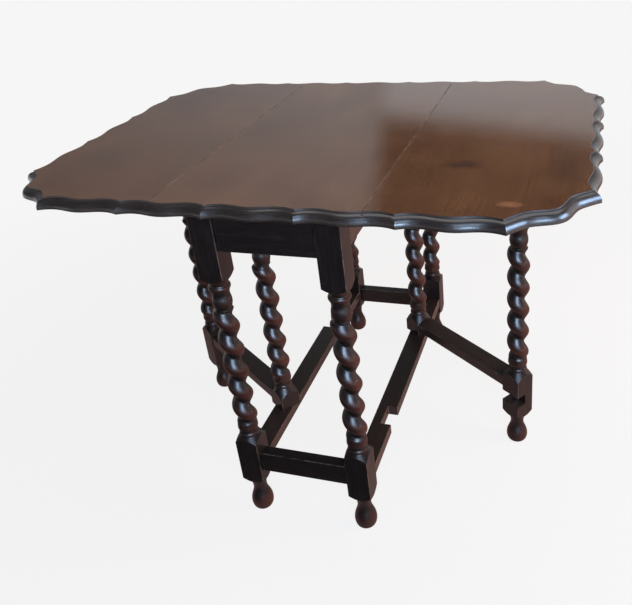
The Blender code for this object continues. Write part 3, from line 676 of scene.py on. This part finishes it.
# plain rails: sizes across, heights from the floor, in the half's own place
railSizes = {
    "edgeRound": 0.0016, "edgeSteps": 3, "sharpAngle": 34, "endPlay": 0.0004,
    "endApron": {"thickness": 0.022, "across": 0.3524, "heights": (0.635, 0.7147)},
    "sideApron": {"thickness": 0.026, "across": 0.1222, "heights": (0.635, 0.7147),
                  "lapDepth": 0.0136, "cutPast": 0.02, "cutHeights": (0.60, 0.75)},
    "endStretcher": {"thickness": 0.024, "across": 0.3458,
                     "heights": {"front": (0.1134, 0.1604), "back": (0.102, 0.143)}},
    "sideStretcher": {"thickness": 0.044, "across": 0.1176, "heights": (0.1155, 0.1385),
                      "cutPast": 0.05, "cutHeights": (0.10, 0.17)},
    "closedGate": (-0.1965, -0.1405),
    "upperRail": {"thickness": 0.022, "heights": (0.578, 0.630)},
    "lowerRail": {"thickness": 0.043, "heights": (0.1495, 0.174)},
}


def railShape(along, span, across, rail, heights):
    play = railSizes["endPlay"]
    length = (span[0] + play, span[1] - play)
    wide = (across - rail["thickness"] / 2, across + rail["thickness"] / 2)
    if along == "X":
        return boxShape(length, wide, heights)
    return boxShape(wide, length, heights)


def makeRail(name, node, body, bm, place, material, cut=None):
    if cut is not None:
        bm = carve(bm, [("DIFFERENCE", cut)])
    else:
        cleanShape(bm)
    roundEdges(bm, bm.edges[:], railSizes["edgeRound"], railSizes["edgeSteps"])
    putAt(bm, place)
    bmesh.ops.recalc_face_normals(bm, faces=bm.faces)
    addPiece(name, bm, body, [node], [material], railSizes["sharpAngle"])


def makeRails():
    legX, legY, legHalf = tableFrame["legX"], tableFrame["legY"], tableFrame["legHalf"]
    endSpan = (legHalf - legX, legX - legHalf)
    sideSpan = (legHalf - legY, legY - legHalf)
    gateSpan = (legHalf - tableFrame["gateRadius"], -legHalf)
    for half in halves:
        side, near = half["side"], half["near"]
        place = framePlace(half)
        rail = railSizes["endApron"]
        bm = railShape("X", endSpan, -rail["across"], rail, rail["heights"])
        makeRail(near + "_apron_rail", near + "_end_apron", "frame", bm, place, endRailOak)
        rail = railSizes["endStretcher"]
        bm = railShape("X", endSpan, -rail["across"], rail, rail["heights"][near])
        makeRail(near + "_stretcher_rail", near + "_end_stretcher", "frame", bm, place, endRailOak)
        rail = railSizes["sideApron"]
        bm = railShape("Y", sideSpan, rail["across"], rail, rail["heights"])
        face = rail["across"] + rail["thickness"] / 2
        lap = boxShape((face - rail["lapDepth"], face + rail["cutPast"]),
                       railSizes["closedGate"], rail["cutHeights"])
        makeRail(side + "_apron_rail", side + "_side_apron", "frame", bm, place, sideRailLitOak, lap)
        rail = railSizes["sideStretcher"]
        bm = railShape("Y", sideSpan, rail["across"], rail, rail["heights"])
        notch = boxShape((legX, legX + rail["cutPast"]), railSizes["closedGate"],
                         rail["cutHeights"])
        makeRail(side + "_stretcher_rail", side + "_side_stretcher", "frame", bm, place,
                 sideRailLitOak, notch)
        for level in ("upper", "lower"):
            rail = railSizes[level + "Rail"]
            bm = railShape("Y", gateSpan, 0.0, rail, rail["heights"])
            makeRail(side + "_swing_" + level + "_rail", side + "_gate_" + level + "_rail",
                     side + "_gate", bm, gatePlace(half), gateRailLitOak[side])


makeRails()
print("rails and stretchers fitted")

# rule hinges under the seams, knuckles let into the wood
hingeSet = {"places": (-0.25, 0.25), "length": 0.045, "knuckle": 0.0032, "room": 0.0006,
            "gap": 0.0006, "thickness": 0.0018, "offset": 0.0052, "fixedWidth": 0.027,
            "leafWidth": 0.040, "cornerRound": 0.004, "cornerSteps": 5, "strapLap": 0.0001,
            "pinRadius": 0.0014, "pinRoom": 0.0001, "pinRound": 0.0004, "sides": 28,
            "sharpAngle": 30}


def lyingRod(x, z, yRange, radius):
    bm = bmesh.new()
    bmesh.ops.create_cone(bm, cap_ends=True, segments=hingeSet["sides"], radius1=radius,
                          radius2=radius, depth=yRange[1] - yRange[0])
    bmesh.ops.rotate(bm, cent=(0, 0, 0), matrix=Matrix.Rotation(math.pi / 2, 3, "X"),
                     verts=bm.verts)
    bmesh.ops.translate(bm, vec=(x, (yRange[0] + yRange[1]) / 2, z), verts=bm.verts)
    return bm


# top: an octagon with its sides scalloped, moulded, then sawn into three at the rule joints
topBoard = {
    "height": 0.735, "width": 1.101, "length": 0.798, "thickness": 0.020, "centreWidth": 0.389,
    "cornerCut": 0.131, "endScallops": 5, "sideScallops": 3, "stepsPerScallop": 20,
    "cornerSteps": 30, "hollow": 0.0075, "swell": 0.0, "cornerHollow": 0.0025,
    "cornerSwell": 0.017, "hollowPlace": 0.62, "lip": 0.003, "step": 0.003,
    "mouldingWidth": 0.014, "mouldingSteps": 9, "stepInset": 0.0004, "arris": 0.0005,
    "ruleFillet": 0.004, "pinHeight": 0.0025, "seamGap": 0.001, "seamRound": 0.0006,
    "seamPlay": 1e-5, "ruleGap": 0.0005, "ruleSteps": 14, "sharpAngle": 30,
}
topFloor = topBoard["height"] - topBoard["thickness"]
seamX = topBoard["centreWidth"] / 2
pinZ = topFloor + topBoard["pinHeight"]
ruleRadius = topBoard["thickness"] - topBoard["ruleFillet"] - topBoard["pinHeight"]
sawRange = (topBoard["height"] + tableFrame["cutPast"], topFloor - tableFrame["cutPast"])


def scallopOffset(share, swell, hollow, hollowPlace):
    if share < hollowPlace:
        rise = 0.5 + 0.5 * math.cos(math.pi * share / hollowPlace)
        return (swell + hollow) * rise - hollow
    return hollow * (((share - hollowPlace) / (1 - hollowPlace)) ** 2 - 1)


# octagon the scallops are drawn on, shrunk evenly by the inset
def topCorners(top, inset):
    halfX, halfY = top["width"] / 2 - inset, top["length"] / 2 - inset
    cut = top["cornerCut"] - inset * (2 - math.sqrt(2))
    return [Vector(corner) for corner in (
        (cut - halfX, -halfY), (halfX - cut, -halfY), (halfX, cut - halfY), (halfX, halfY - cut),
        (halfX - cut, halfY), (cut - halfX, halfY), (-halfX, halfY - cut), (-halfX, cut - halfY))]


def scallopPlan(top, side):
    if side % 2:
        return 1, top["cornerSteps"], top["cornerSwell"], top["cornerHollow"]
    count = top["sideScallops"] if side % 4 else top["endScallops"]
    return count, top["stepsPerScallop"], top["swell"], top["hollow"]


def topRing(top, inset, height):
    corners = topCorners(top, inset)
    ring = []
    for side in range(8):
        start, end = corners[side], corners[(side + 1) % 8]
        run = end - start
        out = Vector((run.y, -run.x)).normalized()
        count, steps, swell, hollow = scallopPlan(top, side)
        for step in range(count * steps):
            share = abs(2 * (step / steps % 1) - 1)
            offset = scallopOffset(share, swell, hollow, top["hollowPlace"])
            spot = start + run * step / (count * steps) + out * offset
            ring.append((spot.x, spot.y, height))
    return ring


def topLevels(top):
    rise = top["thickness"] - top["lip"] - top["step"]
    arris, inset, lip = top["arris"], top["mouldingWidth"], topFloor + top["lip"]
    levels = [(arris, topFloor), (0.0, topFloor + arris), (0.0, lip)]
    for step in range(1, top["mouldingSteps"] + 1):
        angle = math.pi / 2 * step / top["mouldingSteps"]
        levels.append((inset * (1 - math.cos(angle)), lip + rise * math.sin(angle)))
    levels.append((inset + top["stepInset"], top["height"] - arris))
    levels.append((inset + arris + top["stepInset"], top["height"]))
    return levels


def mouldedTop(top):
    bm = bmesh.new()
    levels = topLevels(top)
    ring = topRing(top, *levels[0])
    slot = bm.verts.layers.int.new("slot")
    made = bmesh.ops.create_circle(bm, segments=len(ring), radius=1.0, cap_ends=True)
    for index, vert in enumerate(made["verts"]):
        vert[slot] = index
        vert.co = ring[index]
    upper = bm.faces[:][0]
    for step, level in enumerate(levels[1:]):
        grown = bmesh.ops.extrude_face_region(bm, geom=[upper])
        if step:
            bmesh.ops.delete(bm, geom=[upper], context="FACES_ONLY")
        upper = [item for item in grown["geom"] if isinstance(item, bmesh.types.BMFace)][0]
        ring = topRing(top, *level)
        for vert in upper.verts:
            vert.co = ring[vert[slot]]
    return cleanShape(bm)


def prismAlongY(section, reach):
    bm = drawProfile([(x, -reach, z) for x, z in section])
    ends = [vert for vert in bm.verts if len(vert.link_edges) == 1]
    bm.edges.new(ends)
    face = bmesh.ops.contextual_create(bm, geom=bm.edges[:])["faces"]
    grown = bmesh.ops.extrude_face_region(bm, geom=face)
    moved = [item for item in grown["geom"] if isinstance(item, bmesh.types.BMVert)]
    bmesh.ops.translate(bm, vec=(0, 2 * reach, 0), verts=moved)
    return cleanShape(bm)


def ruleArc(radius, firstAngle):
    steps = topBoard["ruleSteps"]
    angles = [firstAngle * (1 - step / steps) for step in range(steps + 1)]
    return [(seamX + radius * math.cos(a), pinZ + radius * math.sin(a)) for a in angles]


def centreSection():
    high, low = sawRange
    side = [(seamX, high)] + ruleArc(ruleRadius, math.pi / 2) + [(seamX + ruleRadius, low)]
    return side + [(-x, z) for x, z in reversed(side)]


def leafSection():
    high, low = sawRange
    far, gap = topBoard["width"], topBoard["seamGap"]
    radius = ruleRadius + topBoard["ruleGap"]
    side = [(far, high), (seamX + gap, high)] + ruleArc(radius, math.acos(gap / radius))
    return side + [(seamX + radius, low), (far, low)]


# top face and its seams keep the polished finish, the underside is bare, the rest is moulding
topPaint = {"level": 0.9, "topSkin": 0.0002, "floorSkin": 0.004, "worn": 0.5}


def paintTop(bm):
    high, low = topBoard["height"] - topPaint["topSkin"], topFloor + topPaint["floorSkin"]
    wearAndSheen = bm.faces.layers.float.get("wearAndSheen")
    for face in bm.faces:
        height, facing = face.calc_center_median().z, face.normal.z
        onTop = facing > topPaint["level"] and height > high
        if onTop or face[wearAndSheen] > topPaint["worn"]:
            face.material_index = 0  # polished
        elif facing < -topPaint["level"] and height < low:
            face.material_index = 2  # bare
        else:
            face.material_index = 1  # moulded


def roundSeams(bm):
    play = topBoard["seamPlay"]
    edges = []
    for edge in bm.edges:
        ends = [vert.co for vert in edge.verts]
        atTop = all(end.z > topBoard["height"] - play for end in ends)
        onSeam = any(all(abs(abs(end.x) - seam) < play for end in ends)
                     for seam in (seamX, seamX + topBoard["seamGap"]))
        if atTop and onSeam:
            edges.append(edge)
    roundEdges(bm, edges, topBoard["seamRound"])


def knuckleRooms(sides):
    rooms = []
    radius = hingeSet["knuckle"] + hingeSet["room"]
    reach = hingeSet["length"] / 2 + hingeSet["room"]
    for x in [side * seamX for side in sides]:
        for y in hingeSet["places"]:
            span = (y - reach, y + reach)
            rooms.append(("DIFFERENCE", lyingRod(x, pinZ, span, radius)))
            rooms.append(("DIFFERENCE", boxShape((x - radius, x + radius), span,
                                                 (pinZ - topBoard["thickness"], pinZ))))
    return rooms


def sawTop(section, sides):
    blade = prismAlongY(section, topBoard["length"])
    bm = carve(mouldedTop(topBoard), [("INTERSECT", blade)] + knuckleRooms(sides))
    roundSeams(bm)
    paintTop(bm)
    return bm


def makeTop():
    rest = [mouldingOak, bareOak]
    bm = sawTop(centreSection(), (-1, 1))
    addPiece("centre_top_board", bm, "frame", ["centre_board"], [centreOak] + rest,
             topBoard["sharpAngle"])
    for half in halves:
        side = half["side"]
        bm = putAt(sawTop(leafSection(), (1,)), topPlace(half))
        addPiece(side + "_drop_leaf", bm, side + "_leaf", [side + "_leaf"],
                 [leafOak[side]] + rest, topBoard["sharpAngle"])


makeTop()
print("top moulded and sawn")


def makeFlap(name, node, body, half, y, near, far, spans):
    hinge = hingeSet
    outer, floor = hinge["length"] / 2, topFloor - tableFrame["seatGap"]
    heights = (floor - hinge["thickness"], floor)
    plate = boxShape((min(near, far), max(near, far)), (y - outer, y + outer), heights)
    corners = []
    for edge in plate.edges:
        start, end = [vert.co for vert in edge.verts]
        upright = abs(start.z - end.z) > mergeDistance
        if upright and abs(start.x - far) < mergeDistance:
            corners.append(edge)
    bevelEdges(plate, corners, hinge["cornerRound"], hinge["cornerSteps"])
    strapRange = (min(near, seamX) - hinge["strapLap"], max(near, seamX) + hinge["strapLap"])
    steps = []
    for span in spans:
        steps.append(("UNION", boxShape(strapRange, span, heights)))
        steps.append(("UNION", lyingRod(seamX, pinZ, span, hinge["knuckle"])))
    bore = lyingRod(seamX, pinZ, (y - hinge["length"], y + hinge["length"]),
                    hinge["pinRadius"] + hinge["pinRoom"])
    bm = putAt(carve(plate, steps + [("DIFFERENCE", bore)]), topPlace(half))
    addPiece(name, cleanShape(bm), body, [node], [hingeIron], hinge["sharpAngle"])


# screw profile: shares of each radius, the head by height and the shank by share of the length
woodScrew = {"spacing": 0.028, "fixedPlace": 0.55, "leafPlace": 0.70, "headRadius": 0.0034,
             "head": [(0.0, -0.0004), (0.5, -0.0003), (0.85, -0.00012), (1.0, 0.0), (1.0, 0.0002)],
             "shankRadius": 0.0016, "length": 0.013, "shank": [(0.92, 0.7), (0.3, 1.0), (0.0, 1.0)],
             "slotWidth": 0.0008, "slotReach": 1.5, "slotHeights": (-0.002, 0.0004),
             "slotTurns": (0.7, 11, 5)}


def screwShape(turn):
    screw = woodScrew
    head, shank, wide = screw["headRadius"], screw["shankRadius"], screw["slotWidth"] / 2
    points = [(head * share, 0, z) for share, z in screw["head"]]
    points.append((shank, 0, hingeSet["thickness"]))
    points += [(shank * share, 0, screw["length"] * rise) for share, rise in screw["shank"]]
    reach = head * screw["slotReach"]
    slot = boxShape((-reach, reach), (-wide, wide), screw["slotHeights"])
    bmesh.ops.rotate(slot, cent=(0, 0, 0), matrix=Matrix.Rotation(turn, 3, "Z"), verts=slot.verts)
    return carve(spinProfile(points, hingeSet["sides"]), [("DIFFERENCE", slot)])


def makeScrews(stem, body, half, x, y):
    head = topFloor - tableFrame["seatGap"] - hingeSet["thickness"]
    perScrew, perX, perY = woodScrew["slotTurns"]
    for index, step in ((1, -0.5), (2, 0.5)):
        bm = screwShape(perScrew * index + perX * x + perY * y)
        bmesh.ops.translate(bm, vec=(x, y + step * woodScrew["spacing"], head), verts=bm.verts)
        putAt(bm, topPlace(half))
        addPiece(stem + "_wood_screw_" + str(index), cleanShape(bm), body,
                 [stem + "_screw_" + str(index)], [screwSteel], hingeSet["sharpAngle"])


def makeHinges():
    hinge = hingeSet
    outer, third = hinge["length"] / 2, hinge["length"] / 6 + hinge["gap"] / 2
    for half in halves:
        for y, end in zip(hinge["places"], (half["near"], half["far"])):
            stem = half["side"] + "_" + end + "_hinge"
            ends = ((y - outer, y - third), (y + third, y + outer))
            middle = ((y - third + hinge["gap"], y + third - hinge["gap"]),)
            for kind, label, body, way, spans in (
                    ("fixed", "_frame_flap", "frame", -1, ends),
                    ("leaf", "_drop_flap", half["side"] + "_leaf", 1, middle)):
                near, width = seamX + way * hinge["offset"], way * hinge[kind + "Width"]
                makeFlap(stem + label, stem + "_" + kind + "_flap", body, half, y, near,
                         near + width, spans)
                makeScrews(stem + "_" + kind, body, half,
                           near + width * woodScrew[kind + "Place"], y)
            bm = lyingRod(seamX, pinZ, (y - outer, y + outer), hinge["pinRadius"])
            rims = [edge for edge in bm.edges
                    if abs(edge.verts[0].co.y - edge.verts[1].co.y) < mergeDistance]
            roundEdges(bm, rims, hinge["pinRound"])
            putAt(bm, topPlace(half))
            addPiece(stem + "_steel_pin", cleanShape(bm), "frame", [stem + "_pin"],
                     [screwSteel], hinge["sharpAngle"])


makeHinges()
print("hinges screwed on")

# glue blocks in the frame's corners and a stop under each leaf, each with one low corner cut
smallBlocks = {
    "sharpAngle": 34,
    "glue": {"width": 0.022, "length": 0.060, "place": 0.115, "corner": 0.011, "cornerSteps": 1,
             "cornerSide": -1, "edgeRound": 0.0010},
    "stop": {"width": 0.012, "length": 0.045, "play": 0.0005, "corner": 0.006, "cornerSteps": 4,
             "cornerSide": 1, "edgeRound": 0.0007},
}


def makeBlock(name, node, body, place, block, inner, middle):
    ceiling = tableFrame["topUnderside"] - tableFrame["seatGap"]
    span = (middle - block["length"] / 2, middle + block["length"] / 2)
    bm = boxShape((inner, inner + block["width"]), span, (ceiling - block["width"], ceiling))
    halfX, halfZ = inner + block["width"] / 2, ceiling - block["width"] / 2
    corner = [edge for edge in bm.edges
              if all((vert.co.x - halfX) * block["cornerSide"] > 0 and vert.co.z < halfZ
                     for vert in edge.verts)]
    bevelEdges(bm, corner, block["corner"], block["cornerSteps"])
    roundEdges(bm, bm.edges[:], block["edgeRound"])
    putAt(bm, place)
    addPiece(name, cleanShape(bm), body, [node], [blockOak],
             smallBlocks["sharpAngle"])


def makeSmallBlocks():
    glue, stop, apron = smallBlocks["glue"], smallBlocks["stop"], railSizes["sideApron"]
    face = apron["across"] - apron["thickness"] / 2 - tableFrame["seatGap"]
    for half in halves:
        side = half["side"]
        for end, sign in ((half["near"], -1), (half["far"], 1)):
            stem = side + "_" + end
            makeBlock(stem + "_corner_block", stem + "_glue_block", "frame", framePlace(half),
                      glue, face - glue["width"], sign * glue["place"])
        makeBlock(side + "_leaf_stop_block", side + "_gate_stop", side + "_leaf", gatePlace(half),
                  stop, tableFrame["legHalf"] + stop["play"], -tableFrame["gateRadius"])


makeSmallBlocks()
print("small blocks glued in")

# pale floor that keeps a faint shadow near the table and is even further off
paleFloor = {"size": 40.0, "cells": 8, "seen": (0.922, 0.922, 0.922, 1),
             "plain": (0.12, 0.115, 0.11, 1), "shaded": (0.77, 0.62, 0.57, 1),
             "shadowShare": 0.085, "shadowReach": (1.0, 2.4)}


def flatSheet(name, xRange, yRange, height=0.0, cells=1):
    bm = bmesh.new()
    bmesh.ops.create_grid(bm, x_segments=cells, y_segments=cells, size=0.5)
    size = (xRange[1] - xRange[0], yRange[1] - yRange[0], 1)
    middle = ((xRange[0] + xRange[1]) / 2, (yRange[0] + yRange[1]) / 2, height)
    bmesh.ops.scale(bm, vec=size, verts=bm.verts)
    bmesh.ops.translate(bm, vec=middle, verts=bm.verts)
    return meshObject(name, bm)


def makeFloor():
    reach = paleFloor["size"] / 2
    floor = flatSheet("pale_floor", (-reach, reach), (-reach, reach), cells=paleFloor["cells"])
    material, tree, shader = startMaterial("paleFloor")
    setInputs(tree, shader, {"Base Color": paleFloor["plain"], "Roughness": 1.0,
                             "Specular IOR Level": 0.0})
    place = addNode(tree, "ShaderNodeTexCoord").outputs["Object"]
    kept = rangeNode(tree, lengthOf(tree, place), *paleFloor["shadowReach"],
                     paleFloor["shadowShare"], 0.0)
    shade = addNode(tree, "ShaderNodeBsdfDiffuse", {"Color": paleFloor["shaded"]})
    glow = addNode(tree, "ShaderNodeEmission", {"Color": paleFloor["seen"], "Strength": 1.0})
    pale = addNode(tree, "ShaderNodeMixShader", {0: kept, 1: glow.outputs[0], 2: shade.outputs[0]})
    ray = addNode(tree, "ShaderNodeLightPath").outputs
    seen = mathNode(tree, "MAXIMUM", ray["Is Camera Ray"], ray["Is Glossy Ray"])
    seen = mathNode(tree, "MAXIMUM", seen, ray["Is Transmission Ray"])
    both = addNode(tree, "ShaderNodeMixShader", {0: seen, 1: shader.outputs[0], 2: pale.outputs[0]})
    tree.links.new(both.outputs[0], tree.nodes["Material Output"].inputs["Surface"])
    floor.data.materials.append(material)


# room light: a bright low band at the back and sides, a taller bright wall to the left
roomLight = {"tint": (0.90, 0.955, 1.0, 1), "plain": 0.035, "band": 0.74,
             "bandEdge": (0.276, 0.300), "bandSlope": -0.15, "wall": (0.20, 0.46),
             "wallTurn": (0.951, 0.309), "wallSlope": 0.2, "wallFade": (-0.42, -0.06),
             "wallEdge": (0.060, 0.088), "wallTop": (0.46, 0.62), "frontShare": 0.25,
             "frontFade": (-0.35, 0.35)}


def makeWorld():
    world = bpy.data.worlds.new("roomLight")
    world.use_nodes = True
    tree = world.node_tree
    room = roomLight
    aim = addNode(tree, "ShaderNodeTexCoord").outputs["Generated"]
    axes = addNode(tree, "ShaderNodeSeparateXYZ", {0: aim}).outputs
    across = added(tree, scaled(tree, axes["X"], room["wallTurn"][0]),
                   scaled(tree, axes["Y"], room["wallTurn"][1]))
    tilted = added(tree, axes["Z"], scaled(tree, across, room["bandSlope"]))
    band = rangeNode(tree, tilted, *room["bandEdge"], room["band"], 0.0)
    wall = scaled(tree, rangeNode(tree, across, *room["wallFade"], *room["wall"]),
                  rangeNode(tree, axes["Z"], *room["wallTop"], 1.0, 0.0))
    leaning = added(tree, across, scaled(tree, axes["Z"], room["wallSlope"]))
    isRight = rangeNode(tree, leaning, *room["wallEdge"])
    sides = addNode(tree, "ShaderNodeMix", {0: isRight, 2: wall, 3: band}).outputs[0]
    behind = rangeNode(tree, axes["Y"], *room["frontFade"], room["frontShare"], 1.0)
    level = added(tree, scaled(tree, sides, behind), room["plain"])
    setInputs(tree, tree.nodes["Background"], {"Color": room["tint"], "Strength": level})
    bpy.context.scene.world = world


# glowing sheets before and beside the table, a dark one and a warm one, seen only in its polish:
# painted reflections of a dark floor in front and a warm floor beside
glowSheets = [
    {"name": "frontCloth", "x": (-2.6, 1.0), "y": (-3.2, -0.42), "height": 0.002,
     "glow": (0.012, 0.010, 0.010, 1)},
    {"name": "sideCloth", "x": (-1.5, 2.6), "y": (-0.42, 3.0), "height": 0.002,
     "glow": (0.34, 0.215, 0.20, 1)},
]


def makeCloths():
    for glowSheet in glowSheets:
        sheet = flatSheet(glowSheet["name"], glowSheet["x"], glowSheet["y"], glowSheet["height"])
        material, tree, shader = startMaterial(glowSheet["name"])
        setInputs(tree, shader, {"Base Color": (0, 0, 0, 1), "Specular IOR Level": 0.0,
                                 "Emission Color": glowSheet["glow"], "Emission Strength": 1.0})
        sheet.data.materials.append(material)
        sheet.visible_camera = False
        sheet.visible_diffuse = False
        sheet.visible_shadow = False


# a ceiling lamp, a warm low window, and cool windows whose light lies along the edges and turnings
lamps = [
    {"name": "ceiling", "place": (0.4, 1.1, 3.2), "aim": (0.4, 1.1, 0), "size": (3.0, 2.6),
     "power": 54, "colour": (0.98, 0.99, 1.0)},
    {"name": "sideWindow", "place": (2.8, 0.2, 0.36), "aim": (0, 0.1, 0.45), "size": (1.8, 0.64),
     "power": 230, "colour": (1.0, 0.90, 0.83), "mirrored": False},
    {"name": "rightWindow", "place": (2.6, -0.35, 1.4), "aim": (0.5, -0.33, 0.72),
     "size": (1.6, 1.1), "power": 130, "colour": (0.44, 0.66, 1.0),
     "only": ("centre_top_board", "right_drop_leaf", "left_drop_leaf")},
    {"name": "cornerWindow", "place": (0.85, -1.75, 2.5), "aim": (0.05, 0, 0.5),
     "size": (1.3, 1.3), "power": 34, "colour": (0.55, 0.74, 1.0)},
    {"name": "doorway", "place": (1.42, -2.74, 1.45), "aim": (0.1, -0.3, 0.45),
     "size": (1.3, 0.8), "power": 78, "colour": (0.52, 0.72, 1.0)},
    {"name": "glassWall", "place": (1.60, -2.70, 1.35), "aim": (0.1, -0.3, 0.45),
     "size": (2.8, 1.5), "power": 62, "colour": (0.46, 0.67, 1.0)},
]


def makeLamps():
    for lamp in lamps:
        light = bpy.data.lights.new(lamp["name"], "AREA")
        light.shape = "RECTANGLE"
        light.size, light.size_y = lamp["size"]
        light.energy = lamp["power"]
        light.color = lamp["colour"]
        holder = bpy.data.objects.new(lamp["name"], light)
        aim = Vector(lamp["aim"]) - Vector(lamp["place"])
        holder.location = lamp["place"]
        holder.visible_glossy = lamp.get("mirrored", True)
        if "only" in lamp:
            lit = bpy.data.collections.new(lamp["name"] + "Lit")
            for name in lamp["only"]:
                lit.objects.link(bpy.data.objects[name])
            holder.light_linking.receiver_collection = lit
        holder.rotation_euler = aim.to_track_quat("-Z", "Y").to_euler()
        bpy.context.scene.collection.objects.link(holder)


makeFloor()
makeCloths()
makeWorld()
makeLamps()
bpy.context.scene.view_settings.view_transform = "Standard"
print("floor and light set")
